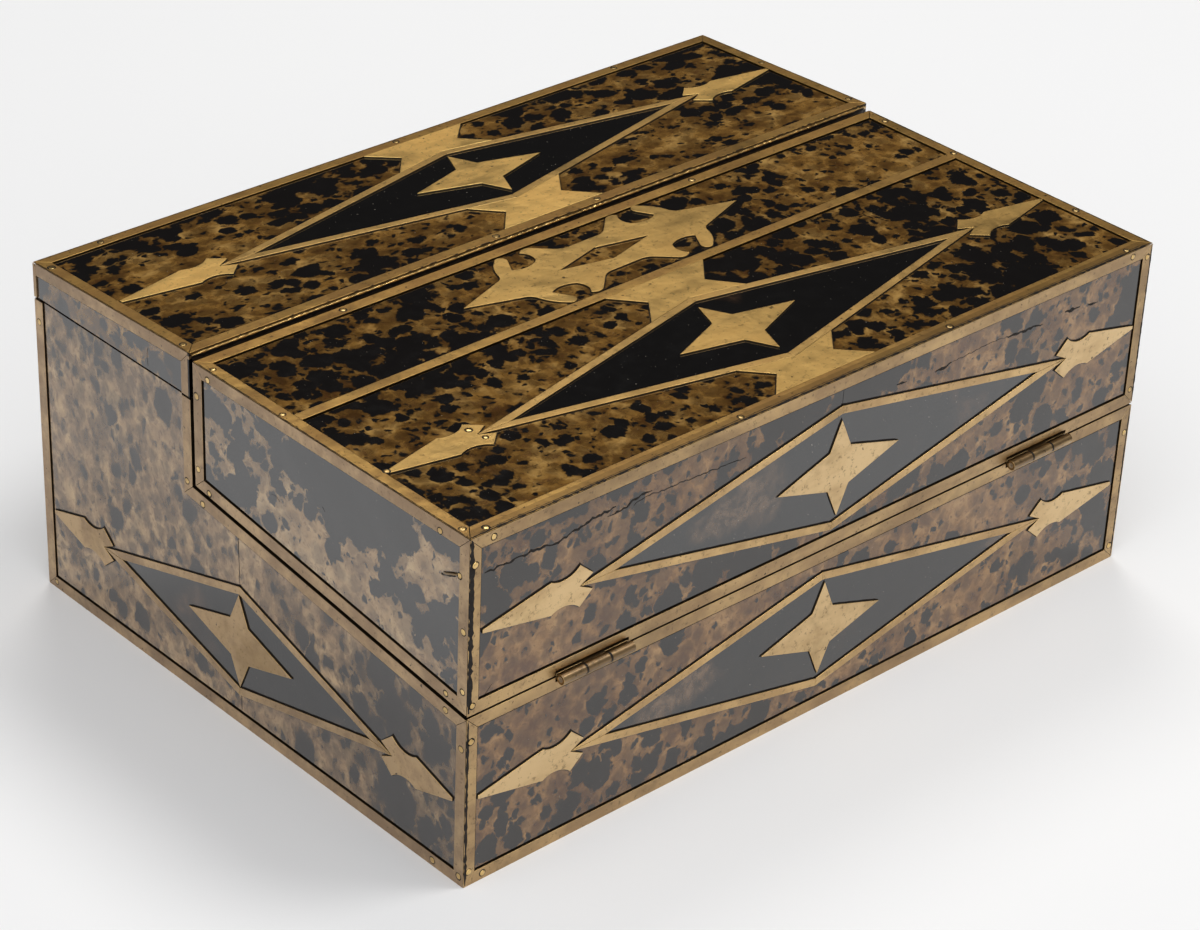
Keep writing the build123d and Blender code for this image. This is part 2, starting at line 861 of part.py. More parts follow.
add_pair("base_end_strips", edge_strips(right_face, end_outline, [w, w, 0, w, w, w], [0, 1, 0, 0, 0, 1]))

# Skins and strips of the front lid
lid_front_outline = [
    (-half_width, joint_z(-half_depth) + front_setback),
    (half_width, joint_z(-half_depth) + front_setback),
    (half_width, height),
    (-half_width, height),
]
lid_end_outline = [
    (-half_depth, joint_z(-half_depth) + side_setback),
    (lid_back_y, joint_z(lid_back_y) + side_setback),
    (lid_back_y, height),
    (-half_depth, height),
]
lid_top_outline = [
    (-half_width, -half_depth),
    (half_width, -half_depth),
    (half_width, lid_back_y),
    (-half_width, lid_back_y),
]
top_widths = [front_top_strip_width, w, w, w]
divider_left_y = lid_back_y - divider_left_back
divider_right_y = lid_back_y - divider_right_back
divider_y = (divider_left_y + divider_right_y) / 2
lid_front_panel = laid_out(lid_front_values, -half_width, half_width, lid_front_outline[0][1], height)
lid_top_panel = laid_out(lid_top_values, -half_width, half_width, -half_depth, divider_y)
lid_front_kite = kite_outline(lid_front_panel)
lid_top_kite = kite_outline(lid_top_panel)
add("lid_front_shell", *skin(front_face, lid_front_outline, [w, w, w, w], [lid_front_kite], front_notches))
lid_front_edge = edge_strips(front_face, lid_front_outline, [w, w, w, w], [0, 1, 1, 1], front_notches)
add("lid_front_strips", *lid_front_edge)
add_pair("lid_end_shells", skin(right_face, lid_end_outline, [w, w, w, w]))
add_pair("lid_end_strips", edge_strips(right_face, lid_end_outline, [w, w, w, w], [0, 0, 1, 1]))
add("lid_top_strips", *edge_strips(top_face, lid_top_outline, top_widths, [1, 1, 0, 1]))
divider_end = half_width - edge_gap - w - seam_gap
divider_half = divider_width / 2
divider = [
    (-divider_end, divider_left_y - divider_half),
    (divider_end, divider_right_y - divider_half),
    (divider_end, divider_right_y + divider_half),
    (-divider_end, divider_left_y + divider_half),
]
add("lid_top_strips", sheet(top_face, divider, strip_thick))
channel_cut = inset(divider, [-shell_gap, -10.0, -shell_gap, -10.0])
top_shell = skin(top_face, lid_top_outline, top_widths, [lid_top_kite])[0]
add("lid_top_shell", *(top_shell - sheet(top_face, channel_cut, strip_thick + 1, -1)).solids())

# Skins and strips of the rear lid
rear_run = rear_case_depth / cos(tilt)
rear_top_outline = [(-half_width, 0), (half_width, 0), (half_width, rear_run), (-half_width, rear_run)]
rear_end_back = wood_y - edge_gap
rear_end_outline = [
    (step_y, rear_joint_height + rear_setback),
    (rear_end_back, rear_joint_height + rear_setback),
    (rear_end_back, rear_top_z(rear_end_back)),
    (step_y, rear_lid_front_top),
]
rear_back_outline = [
    (-half_width, rear_joint_height + rear_setback),
    (half_width, rear_joint_height + rear_setback),
    (half_width, rear_lid_back_top),
    (-half_width, rear_lid_back_top),
]
rear_panel = laid_out(rear_values, -half_width, half_width, 0, rear_run)
rear_kite = kite_outline(rear_panel)
add("rear_lid_shell", *skin(rear_top_face, rear_top_outline, [w, w, w, w], [rear_kite]))
add_pair("rear_lid_shell", skin(right_face, rear_end_outline, [0, 0, w, w]))
add("rear_lid_shell", *skin(back_face, rear_back_outline, [0, w, w, w], (), rear_notches))
add("rear_lid_top_strips", *edge_strips(rear_top_face, rear_top_outline, [w, w, w, w], [0, 1, 1, 1]))
add_pair("rear_lid_edge_strips", edge_strips(right_face, rear_end_outline, [0, 0, w, w], [0, 0, 1, 0]))
rear_back_edge = edge_strips(back_face, rear_back_outline, [0, w, w, w], [0, 0, 1, 0], rear_notches)
add("rear_lid_edge_strips", *rear_back_edge)

# Inlay of the base
for plane, panel in ((front_face, front_panel), (back_face, front_panel)):
    add("base_lozenges", lozenge(plane, panel))
    add("base_fillets", *fillets(plane, panel))
    add("base_stars", star(plane, panel))
    add("base_spears", *spears(plane, panel))
add_pair("base_lozenges", [lozenge(right_face, end_panel)])
add_pair("base_fillets", fillets(right_face, end_panel))
add_pair("base_stars", [star(right_face, end_panel)])
add_pair("base_spears", spears(right_face, end_panel))

# Inlay of the front lid
for plane, panel in ((front_face, lid_front_panel), (top_face, lid_top_panel)):
    add("lid_lozenges", lozenge(plane, panel))
    add("lid_fillets", *fillets(plane, panel))
    add("lid_stars", star(plane, panel))
    add("lid_spears", *spears(plane, panel))
front_strip_edge = -half_depth + edge_gap + front_top_strip_width
add(
    "lid_brackets",
    bracket(top_face, lid_top_panel, -1, (-half_width, front_strip_edge), (half_width, front_strip_edge)),
    bracket(top_face, lid_top_panel, 1, divider[0], divider[1]),
)
add("scroll_ornament", scroll(top_face))

# Inlay of the rear lid
add("rear_lid_lozenge", lozenge(rear_top_face, rear_panel))
add("rear_lid_fillets", *fillets(rear_top_face, rear_panel))
add("rear_lid_star", star(rear_top_face, rear_panel))
add("rear_lid_spears", *spears(rear_top_face, rear_panel))
rear_inner_edge = rear_run - edge_gap - w
add(
    "rear_lid_brackets",
    bracket(rear_top_face, rear_panel, -1, (-half_width, w), (half_width, w)),
    bracket(rear_top_face, rear_panel, 1, (-half_width, rear_inner_edge), (half_width, rear_inner_edge)),
)

# One file for each node
os.makedirs("parts", exist_ok=True)
for name, pieces in nodes.items():
    solids = [solid for piece in pieces for solid in piece.solids()]
    export_step(Compound(children=solids) if len(solids) > 1 else solids[0], "parts/" + name + ".step")
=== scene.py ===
import bpy
import bmesh
import random
from math import atan2, cos, pi, radians, sin, tan
from mathutils import Matrix, Vector, noise
from mathutils.bvhtree import BVHTree


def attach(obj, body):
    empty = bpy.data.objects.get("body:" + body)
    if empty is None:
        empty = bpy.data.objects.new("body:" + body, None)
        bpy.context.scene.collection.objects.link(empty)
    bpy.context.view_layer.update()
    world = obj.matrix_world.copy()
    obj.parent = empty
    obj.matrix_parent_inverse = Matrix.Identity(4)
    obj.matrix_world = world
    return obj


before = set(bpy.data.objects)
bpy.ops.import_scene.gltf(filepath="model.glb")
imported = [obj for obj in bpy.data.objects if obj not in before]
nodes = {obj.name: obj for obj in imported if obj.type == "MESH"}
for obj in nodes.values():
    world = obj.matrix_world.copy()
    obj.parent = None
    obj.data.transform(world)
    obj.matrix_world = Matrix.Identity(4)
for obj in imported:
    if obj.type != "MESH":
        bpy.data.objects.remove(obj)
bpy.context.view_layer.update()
rng = random.Random(41)

# Sizes of the case in metres: half lengths, heights, the step to the rear lid and the front hinge line
HALF_X = 0.175
HALF_Y = 0.128
TOP = 0.145
STEP = 0.0286
LID_BACK = 0.0264
REAR_JOINT = 0.1287
REAR_FRONT = 0.1476
REAR_BACK = 0.1438
TILT = atan2(REAR_FRONT - REAR_BACK, HALF_Y - STEP)
SLOPE = radians(7.1)
HINGE_Y = 0.1303
HINGE_Z = 0.0725
HINGE_X = 0.117

# Signs of the left and the right half
SIDES = (-1, 1)

# Camera and light

LENS = 102.93
SENSOR_WIDTH = 36
EYE = (-0.80563, -0.85658, 0.7489)
RIGHTWARD = Vector((0.74150, -0.66992, 0.03727))
DOWNWARD = Vector((-0.31928, -0.40115, -0.85857))
FORWARD = Vector((0.59012, 0.62472, -0.51135))

scene = bpy.context.scene
scene.view_settings.view_transform = "Standard"


def add_object(name, data):
    """New object in the scene."""
    thing = bpy.data.objects.new(name, data)
    scene.collection.objects.link(thing)
    return thing


camera_data = bpy.data.cameras.new("camera")
camera_data.sensor_width = SENSOR_WIDTH
camera_data.lens = LENS
camera = add_object("camera", camera_data)
turn = Matrix((RIGHTWARD, -DOWNWARD, -FORWARD)).transposed().to_4x4()
camera.matrix_world = Matrix.Translation(EYE) @ turn
scene.camera = camera


def area_light(name, place, aim_height, size, power, colour):
    data = bpy.data.lights.new(name, "AREA")
    data.shape = "DISK"
    data.size = size
    data.energy = power
    data.color = colour
    lamp = add_object(name, data)
    lamp.location = place
    lamp.rotation_euler = (Vector((0, 0, aim_height)) - Vector(place)).to_track_quat("-Z", "Y").to_euler()


area_light("key", (1.0, -0.85, 2.35), aim_height=0.05, size=0.95, power=19.5, colour=(1.0, 0.985, 0.96))
area_light("fill", (-1.0, -0.75, 2.6), aim_height=0.05, size=2.2, power=17.5, colour=(0.97, 0.985, 1.0))
area_light("back", (0.76, 0.98, 2.05), aim_height=0.1, size=0.9, power=13, colour=(1.0, 0.97, 0.92))

# The world is bright on the side that the camera looks from, and dark where the tops mirror it
BRIGHT_SIDE = (-0.50, -0.62, 0.60)
SKY_STEP = {"From Min": -0.1, "From Max": 0.9, "To Min": 0.02, "To Max": 1.2}

world = bpy.data.worlds.new("studio")
scene.world = world
world.use_nodes = True
sky = world.node_tree
sky.nodes.clear()
sky_out = sky.nodes.new("ShaderNodeOutputWorld")
background = sky.nodes.new("ShaderNodeBackground")
direction = sky.nodes.new("ShaderNodeTexCoord")
facing = sky.nodes.new("ShaderNodeVectorMath")
facing.operation = "DOT_PRODUCT"
facing.inputs[1].default_value = Vector(BRIGHT_SIDE).normalized()
level = sky.nodes.new("ShaderNodeMapRange")
level.interpolation_type = "SMOOTHSTEP"
for name, value in SKY_STEP.items():
    level.inputs[name].default_value = value
sky.links.new(direction.outputs["Generated"], facing.inputs[0])
sky.links.new(facing.outputs["Value"], level.inputs["Value"])
sky.links.new(level.outputs["Result"], background.inputs["Strength"])
sky.links.new(background.outputs["Background"], sky_out.inputs["Surface"])


# Materials

# Reach of the painted shade and dirt in corners, and the noise colour that bends nothing
SEAM_REACH = 0.0011
NO_PUSH = (0.5, 0.5, 0.5)


def scaled(colour, share):
    """The colour, darker or brighter by a share."""
    return tuple(min(1.0, c * share) for c in colour)


class Finish:
    """A node material with helpers for procedural patterns in object coordinates."""

    def __init__(self, name):
        self.material = bpy.data.materials.new(name)
        self.material.use_nodes = True
        self.tree = self.material.node_tree
        self.tree.nodes.clear()
        output = self.tree.nodes.new("ShaderNodeOutputMaterial")
        self.shader = self.tree.nodes.new("ShaderNodeBsdfPrincipled")
        self.tree.links.new(self.shader.outputs["BSDF"], output.inputs["Surface"])
        self.place = self.tree.nodes.new("ShaderNodeTexCoord").outputs["Object"]

    def put(self, socket, value):
        if isinstance(value, bpy.types.NodeSocket):
            self.tree.links.new(value, socket)
        else:
            socket.default_value = value

    def set(self, **values):
        for name, value in values.items():
            self.put(self.shader.inputs[name.replace("_", " ")], value)

    def node(self, kind, output, values, **settings):
        """Output of a new node, with its settings and its input values by name or number."""
        node = self.tree.nodes.new("ShaderNode" + kind)
        for setting, value in settings.items():
            setattr(node, setting, value)
        for key, value in values.items():
            self.put(node.inputs[key], value)
        return node.outputs[output]

    def mapped(self, scale=(1, 1, 1), offset=(0, 0, 0), angle=(0, 0, 0), source=None):
        values = {"Vector": source or self.place, "Location": offset, "Rotation": angle, "Scale": scale}
        return self.node("Mapping", "Vector", values)

    def noise(self, vector, scale, detail=2.0, rough=0.5, colour=False):
        values = {"Vector": vector, "Scale": scale, "Detail": detail, "Roughness": rough}
        return self.node("TexNoise", "Color" if colour else "Fac", values)

    def cells(self, vector, scale, feature="F1"):
        return self.node("TexVoronoi", "Distance", {"Vector": vector, "Scale": scale}, feature=feature)

    def math(self, operation, a, b=0.0, c=0.0):
        return self.node("Math", "Value", {0: a, 1: b, 2: c}, operation=operation)

    def vector(self, operation, a, b=(0, 0, 0), scale=1.0, output="Vector"):
        return self.node("VectorMath", output, {0: a, 1: b, 3: scale}, operation=operation)

    def warped(self, vector, scale, amount):
        push = self.vector("SUBTRACT", self.noise(vector, scale, 1.5, colour=True), NO_PUSH)
        return self.vector("ADD", vector, self.vector("SCALE", push, scale=amount))

    def step(self, value, low, high, to_low=0.0, to_high=1.0):
        values = {"Value": value, "From Min": low, "From Max": high, "To Min": to_low, "To Max": to_high}
        return self.node("MapRange", "Result", values, interpolation_type="SMOOTHSTEP")

    def ramp(self, value, stops):
        node = self.tree.nodes.new("ShaderNodeValToRGB")
        ramp = node.color_ramp
        while len(ramp.elements) < len(stops):
            ramp.elements.new(0.5)
        for element, (position, colour) in zip(ramp.elements, stops):
            element.position = position
            element.color = (*colour, 1)
        self.tree.links.new(value, node.inputs["Fac"])
        return node.outputs["Color"]

    def mix(self, factor, a, b):
        a, b = ((*value, 1) if isinstance(value, tuple) else value for value in (a, b))
        return self.node("Mix", 2, {0: factor, 6: a, 7: b}, data_type="RGBA")

    def tint(self, colour, mask, share, other):
        """The colour with a share of another laid over it where the mask is 1."""
        return self.mix(self.math("MULTIPLY", mask, share), colour, other)

    def bump(self, height, distance, strength=1.0, below=None):
        values = {"Height": height, "Distance": distance, "Strength": strength}
        if below is not None:
            values["Normal"] = below
        return self.node("Bump", "Normal", values)

    def axes(self):
        node = self.tree.nodes.new("ShaderNodeSeparateXYZ")
        self.tree.links.new(self.place, node.inputs[0])
        return node.outputs

    def absolute_gap(self, a, b):
        return self.math("ABSOLUTE", self.math("SUBTRACT", a, b))

    def ellipsoid(self, centre, reach, bend, amount):
        """Distance from a centre in shares of the reach along x, y and z, with a bent outline."""
        shift = tuple(-c / r for c, r in zip(centre, reach))
        shares = tuple(1 / r for r in reach)
        spot = self.mapped(shares, shift, source=self.warped(self.place, bend, amount))
        return self.vector("LENGTH", spot, output="Value")

    def seam(self):
        """Mask of painted shade in corners within a millimetre of a neighbour, read from occlusion,
        standing also for dirt in the seams.
        """
        openness = self.node("AmbientOcclusion", "AO", {"Distance": SEAM_REACH}, samples=6)
        return self.step(openness, 0.62, 0.93, 1.0, 0.0)

    def depth(self):
        """How far a point lies below the nearest outer plane of the closed case."""
        x, y, z = self.axes()
        side = self.math("SUBTRACT", HALF_X, self.math("ABSOLUTE", x))
        front = self.math("SUBTRACT", HALF_Y, self.math("ABSOLUTE", y))
        rise = self.math("MULTIPLY_ADD", self.math("SUBTRACT", y, STEP), -tan(TILT), REAR_FRONT - TOP)
        on_rear = self.math("GREATER_THAN", y, (STEP + LID_BACK) / 2)
        top = self.math("MULTIPLY_ADD", on_rear, rise, TOP)
        below_top = self.absolute_gap(top, z)
        return self.math("MINIMUM", self.math("MINIMUM", side, front), below_top)


# Layers of round spots in the shell: cells per metre, radius, its variation, and growth in dark regions
SPOTS = ((80, 0.0040, 0.008, 1.0), (135, 0.0025, 0.006, 1.0), (270, 0.0009, 0.003, 0.3))

# Colours of the spots, then of the ground from its darkest to its palest
BLACK = (0.0052, 0.0042, 0.0040)
WARM_BLACK = (0.0100, 0.0070, 0.0050)
GREY_BLACK = (0.0190, 0.0150, 0.0130)
GOLDEN = ((0.060, 0.026, 0.005), (0.200, 0.102, 0.022), (0.385, 0.228, 0.068))
BROWN = ((0.100, 0.042, 0.012), (0.225, 0.114, 0.036), (0.370, 0.212, 0.080))
PALE = ((0.190, 0.108, 0.045), (0.350, 0.222, 0.105), (0.490, 0.340, 0.175))
DUSKY = ((0.100, 0.058, 0.027), (0.275, 0.170, 0.082), (0.490, 0.330, 0.165))
GROUND_STOPS = (0.32, 0.50, 0.68)

# Faint clouds between the spots in cells per metre and radius, colours of what lies on the shell with the
# painted shade and dirt in its corners, polish
VEIL_SCALE = 165
VEIL_RADIUS = 0.0032
FRECKLE = (0.070, 0.026, 0.008)
DUST = (0.42, 0.36, 0.28)
SEAM_SHADE_AND_DIRT = (0.004, 0.003, 0.003)
POLISH_ROUGHNESS = (0.08, 0.18)


def tortoiseshell(name, seed, ground, grow=0.0, stretch=(1, 1, 1), angle=(0, 0, 0), coat=0.8, black=BLACK,
                  size=1.0, soft=1.0, drift=0.012, patches=()):
    """Mottled shell: round dark spots that run together into blotches, in honey ground under worn polish.

    grow makes all spots larger, drift lets their size wander over the sheet, and a patch is the centre,
    reach and amount of a region whose spots are larger, or smaller where the amount is below 0."""
    f = Finish(name)
    place = f.mapped(stretch, (seed * 1.37, seed * 0.71, seed * 2.13), angle)
    bent = f.warped(f.warped(place, 120, 0.0045), 430, 0.0034)
    region = f.math("MULTIPLY_ADD", f.noise(place, 14, 1.0), drift, grow - drift / 2)
    for centre, reach, amount in patches:
        within = f.step(f.ellipsoid(centre, reach, 45, 0.02), 0.45, 1.0, 1.0, 0.0)
        region = f.math("MULTIPLY_ADD", within, amount, region)
    value = None
    for number, (scale, radius, wander, share) in enumerate(SPOTS):
        spot = f.mapped(offset=(number * 0.37, number * 0.74, number * 1.11), source=bent)
        fine_scale = scale / size
        least = (radius - wander / 2) * size
        reach = f.math("MULTIPLY_ADD", f.noise(spot, fine_scale * 0.8, 0.0), wander * size, least)
        edge = f.math("MULTIPLY_ADD", f.cells(spot, fine_scale), -1 / fine_scale, reach)
        layer = f.math("MULTIPLY_ADD", region, share, edge)
        value = layer if value is None else f.math("MAXIMUM", value, layer)
    cloud = f.cells(f.mapped(offset=(3, 1, 2), source=bent), VEIL_SCALE)
    cloud = f.math("MULTIPLY_ADD", cloud, -1 / VEIL_SCALE, VEIL_RADIUS)
    veil = f.step(f.math("MULTIPLY_ADD", region, 0.5, cloud), -0.0018, 0.0010)
    darkest = ground[0]
    colour = f.ramp(f.noise(bent, 85, 5, 0.64), list(zip(GROUND_STOPS, ground)))
    colour = f.tint(colour, veil, 0.62, scaled(darkest, 0.55))
    freckle = f.step(f.noise(bent, 520, 3, 0.6), 0.52, 0.68)
    colour = f.tint(colour, freckle, 0.50, FRECKLE)
    halo = f.step(value, -0.0007 * soft, 0.0001, 0.0, 0.6)
    colour = f.mix(halo, colour, scaled(darkest, 0.3))
    core = f.step(value, -0.00015 * soft, 0.00025 * soft)
    colour = f.mix(core, colour, black)
    dust = f.step(f.noise(place, 1300, 1.0), 0.780, 0.810)
    colour = f.tint(colour, dust, 0.5, DUST)
    fine = f.noise(place, 900, 4, 0.7)
    scratch = f.noise(f.mapped((30, 900, 500), (seed, 0, 0), (0.2, 0.1, 0.6)), 1.0, 2)
    height = f.math("ADD", f.math("MULTIPLY", fine, 0.12), f.math("MULTIPLY", scratch, 0.08))
    normal = f.bump(f.noise(place, 34, 2, 0.5), 0.0011, 0.55)
    normal = f.bump(height, 0.00025, 0.5, normal)
    # Painted shade in the corners beside the inlays, with dirt
    colour = f.mix(f.seam(), colour, SEAM_SHADE_AND_DIRT)
    rough = f.step(f.noise(place, 160, 4, 0.6), 0.25, 0.8, *POLISH_ROUGHNESS)
    f.set(Base_Color=colour, Roughness=rough, IOR=1.55, Normal=normal)
    f.set(Coat_Weight=coat, Coat_IOR=1.5, Coat_Roughness=0.06)
    return f.material


def black_shell(name, seed, clear, clouds=()):
    """Nearly black shell with a few brown see-through patches, dust and fine scratches.

    clear is the level above which it is brown, and a cloud is the centre and reach of a tan patch."""
    f = Finish(name)
    place = f.mapped(offset=(seed * 1.9, seed * 0.6, seed * 1.1))
    bent = f.warped(place, 50, 0.012)
    patch = f.step(f.noise(bent, 17, 3, 0.6), clear, clear + 0.12)
    mottle = f.noise(bent, 260, 3, 0.6)
    brown = f.ramp(mottle, [(0.35, (0.014, 0.008, 0.005)), (0.7, (0.085, 0.045, 0.024))])
    colour = f.mix(patch, (0.0048, 0.0043, 0.0042), brown)
    for centre, reach in clouds:
        tan_cloud = f.ramp(mottle, [(0.35, (0.030, 0.018, 0.010)), (0.68, (0.200, 0.120, 0.066))])
        within = f.step(f.ellipsoid(centre, reach, 60, 0.03), 0.35, 1.0, 0.75, 0.0)
        colour = f.mix(within, colour, tan_cloud)
    dust = f.step(f.noise(place, 1150, 1.0), 0.765, 0.795)
    colour = f.tint(colour, dust, 0.6, (0.40, 0.36, 0.30))
    scratch = f.noise(f.mapped((40, 1000, 420), (seed, 0, 0), (0.1, 0.3, 0.9)), 1.0, 2)
    normal = f.bump(f.noise(place, 30, 2), 0.0010, 0.5)
    normal = f.bump(f.math("ADD", scratch, f.noise(place, 800, 3)), 0.00006, 0.5, normal)
    rough = f.step(f.noise(place, 140, 4, 0.6), 0.25, 0.8, *POLISH_ROUGHNESS)
    f.set(Base_Color=colour, Roughness=rough, IOR=1.55, Normal=normal)
    f.set(Coat_Weight=0.8, Coat_IOR=1.5, Coat_Roughness=0.06)
    return f.material


# Radius of the rounded edges, which are rubbed and carry a painted highlight, thickness of a face's metal
# and reach of the painted shade into the groove, then the painted shade on cut sides and the colour of pits
EDGE_ROUNDING = 0.00035
FACE_SKIN = 0.0012
GROOVE_REACH = 0.0009
CUT_SIDE_SHADE = (0.018, 0.011, 0.006)
PIT = (0.030, 0.017, 0.008)


def brass(name, seed, bright, dull, tarnish=0.5, pits=0.70, rough=0.45, ends=None, fronts=None,
          sheet=True, groove=None, shade=None):
    """Old hand-cut brass: cloudy tarnish, brown pits, scratches, worn edges with a painted highlight, cut
    sides in painted shade.

    ends and fronts are the bright and dull colours on those faces of the case, set apart as painted light:
    paler on the fronts as a painted reflection, duller on the ends as tarnish with painted shade. sheet is
    let-in metal whose cut sides get painted shade, groove the height and half breadth of a line left brass
    on the metal facing into the groove between the lids, the rest of which gets painted shade, and shade
    the line in front of which the top is darker."""
    f = Finish(name)
    bright_socket = bright
    dull_socket = dull
    x, y, z = f.axes()
    # Painted light: the fronts and ends of the case get their own metal colours, paler on the fronts as a
    # painted reflection, duller on the ends as tarnish with painted shade
    for across, half, pair in ((y, HALF_Y, fronts), (x, HALF_X, ends)):
        if pair:
            side = f.math("GREATER_THAN", f.math("ABSOLUTE", across), half - FACE_SKIN)
            bright_socket = f.mix(side, bright_socket, pair[0])
            dull_socket = f.mix(side, dull_socket, pair[1])
    place = f.mapped(offset=(seed * 1.3, seed * 2.7, seed * 0.9))
    cloud = f.noise(f.warped(place, 70, 0.012), 42, 4, 0.62)
    streak = f.noise(f.mapped((26, 130, 130), (seed, 0, 0)), 1.0, 3, 0.6)
    mottled = f.math("MULTIPLY_ADD", streak, 0.45, f.math("MULTIPLY", cloud, 0.62))
    colour = f.mix(f.step(mottled, tarnish - 0.12, tarnish + 0.16), bright_socket, dull_socket)
    stain = f.step(f.noise(f.warped(place, 40, 0.02), 24, 5, 0.68), 0.50, 0.66)
    colour = f.tint(colour, stain, 0.45, scaled(dull, 0.55))
    fleck = f.step(f.noise(place, 520, 4, 0.7), 0.55, 0.70)
    colour = f.tint(colour, fleck, 0.66, scaled(dull, 0.36))
    pit = f.step(f.noise(place, 360, 2, 0.5), pits, pits + 0.05)
    colour = f.tint(colour, pit, 0.85, PIT)
    rounded = f.node("Bevel", "Normal", {"Radius": EDGE_ROUNDING}, samples=8)
    turned = f.vector("DOT_PRODUCT", rounded, f.node("NewGeometry", "Normal", {}), output="Value")
    # Edges lightened, partly rubbed wear and partly a painted highlight
    worn = f.step(turned, 0.90, 0.995, 1.0, 0.0)
    colour = f.tint(colour, worn, 0.45, scaled(bright, 1.25))
    # Painted shade: the metal facing into the groove between the lids goes nearly black, except a thin line
    if groove:
        line_height, half_breadth = groove
        beside_line = f.step(f.absolute_gap(z, line_height), half_breadth, half_breadth * 2)
        in_groove = f.math("LESS_THAN", y, STEP + GROOVE_REACH)
        colour = f.mix(f.math("MULTIPLY", in_groove, beside_line), colour, (0.006, 0.004, 0.003))
    # The top metal is darker in front of the line shade
    if shade:
        darker_front_band = f.math("LESS_THAN", y, shade)
        colour = f.tint(colour, darker_front_band, 0.45, scaled(dull, 0.45))
    # Painted shade on the cut sides of let-in metal
    if sheet:
        cut_side_shade = f.step(f.depth(), 0.00008, 0.00016, 0.0, 0.88)
        colour = f.mix(cut_side_shade, colour, CUT_SIDE_SHADE)
    scratch_a = f.noise(f.mapped((40, 1500, 1500), (seed, 0, 0), (0, 0, 0.05)), 1.0, 2)
    scratch_b = f.noise(f.mapped((900, 60, 900), (0, seed, 0), (0.1, 0, 0.4)), 1.0, 2)
    dents = f.noise(place, 95, 2, 0.5)
    height = f.math("ADD", f.math("MULTIPLY", scratch_a, 0.5), f.math("MULTIPLY", scratch_b, 0.35))
    height = f.math("SUBTRACT", height, f.math("MULTIPLY", pit, 0.9))
    normal = f.bump(dents, 0.0009, 0.5, rounded)
    normal = f.bump(height, 0.00007, 0.6, normal)
    roughness = f.step(mottled, 0.35, 0.75, rough - 0.08, rough + 0.14)
    f.set(Base_Color=colour, Metallic=1.0, Roughness=roughness, Normal=normal)
    f.set(Coat_Weight=0.5, Coat_IOR=1.5, Coat_Roughness=0.25)
    return f.material


def wood(name, seed, dark, light, gloss=0.45):
    """Fine straight-grained wood along X, with pores and rubbed wax."""
    f = Finish(name)
    place = f.warped(f.mapped(offset=(seed, seed * 0.4, seed * 0.8)), 14, 0.010)
    rings = f.noise(f.mapped((5, 120, 120), source=place), 1.0, 4, 0.6)
    fibre = f.noise(f.mapped((40, 1400, 1400), source=place), 1.0, 3, 0.6)
    grain = f.math("MULTIPLY_ADD", fibre, 0.35, f.math("MULTIPLY", rings, 0.7))
    middle = tuple((a + b) / 2 for a, b in zip(dark, light))
    colour = f.ramp(grain, [(0.30, dark), (0.52, middle), (0.74, light)])
    pores = f.step(f.noise(f.mapped((110, 2600, 2600), source=place), 1.0, 2), 0.63, 0.70)
    colour = f.tint(colour, pores, 0.7, scaled(dark, 0.3))
    normal = f.bump(f.math("SUBTRACT", fibre, f.math("MULTIPLY", pores, 0.8)), 0.00012, 0.6)
    roughness = f.step(grain, 0.3, 0.75, gloss + 0.1, gloss - 0.08)
    f.set(Base_Color=colour, Roughness=roughness, Normal=normal, IOR=1.5)
    return f.material


# Distance from the edge and half breadth of the gilt lines on the leather, and their colour
GILT_LINES = ((0.006, 0.00045), (0.0078, 0.0002))
GILT = (0.62, 0.42, 0.14)


def leather(name, seed, front, back, half):
    """Dark red grained leather with a gilt double line round its edge."""
    f = Finish(name)
    place = f.mapped(offset=(seed, seed, seed))
    pebble = f.cells(f.warped(place, 500, 0.0006), 780)
    crease = f.cells(f.warped(place, 300, 0.001), 420, "DISTANCE_TO_EDGE")
    colour = f.ramp(f.noise(place, 22, 4, 0.6), [(0.3, (0.055, 0.009, 0.008)), (0.7, (0.15, 0.030, 0.022))])
    colour = f.mix(f.step(pebble, 0.35, 0.75), colour, (0.030, 0.006, 0.006))
    rubbed = f.step(f.noise(place, 9, 3), 0.52, 0.72)
    colour = f.tint(colour, rubbed, 0.35, (0.24, 0.085, 0.055))
    axes = f.axes()
    side = f.math("SUBTRACT", half, f.math("ABSOLUTE", axes["X"]))
    end = f.math("SUBTRACT", (back - front) / 2, f.absolute_gap(axes["Y"], (front + back) / 2))
    edge = f.math("MINIMUM", side, end)
    line = None
    for distance, breadth in GILT_LINES:
        mask = f.step(f.absolute_gap(edge, distance), breadth, breadth + 0.0001, 1.0, 0.0)
        line = mask if line is None else f.math("MAXIMUM", line, mask)
    gilt = f.math("MULTIPLY", line, f.step(f.noise(place, 700, 3), 0.36, 0.48))
    colour = f.mix(gilt, colour, GILT)
    grain = f.math("MULTIPLY", f.step(crease, 0.0, 0.12), 0.5)
    height = f.math("SUBTRACT", grain, f.math("MULTIPLY", line, 1.5))
    f.set(Base_Color=colour, Roughness=f.step(pebble, 0.2, 0.8, 0.42, 0.62), IOR=1.48)
    f.set(Metallic=f.math("MULTIPLY", gilt, 0.9), Normal=f.bump(height, 0.00018, 0.7))
    return f.material


def plain_metal(name, colour, rough, seed):
    """Bare metal with brown stains."""
    f = Finish(name)
    place = f.mapped(offset=(seed, seed * 2, 0))
    stain = f.noise(place, 420, 4, 0.65)
    shade = f.mix(f.step(stain, 0.45, 0.7), colour, scaled(colour, 0.45))
    f.set(Base_Color=shade, Metallic=1.0, Roughness=f.step(stain, 0.3, 0.7, rough, rough + 0.2))
    f.set(Normal=f.bump(f.noise(place, 900, 3), 0.00006, 0.6))
    return f.material
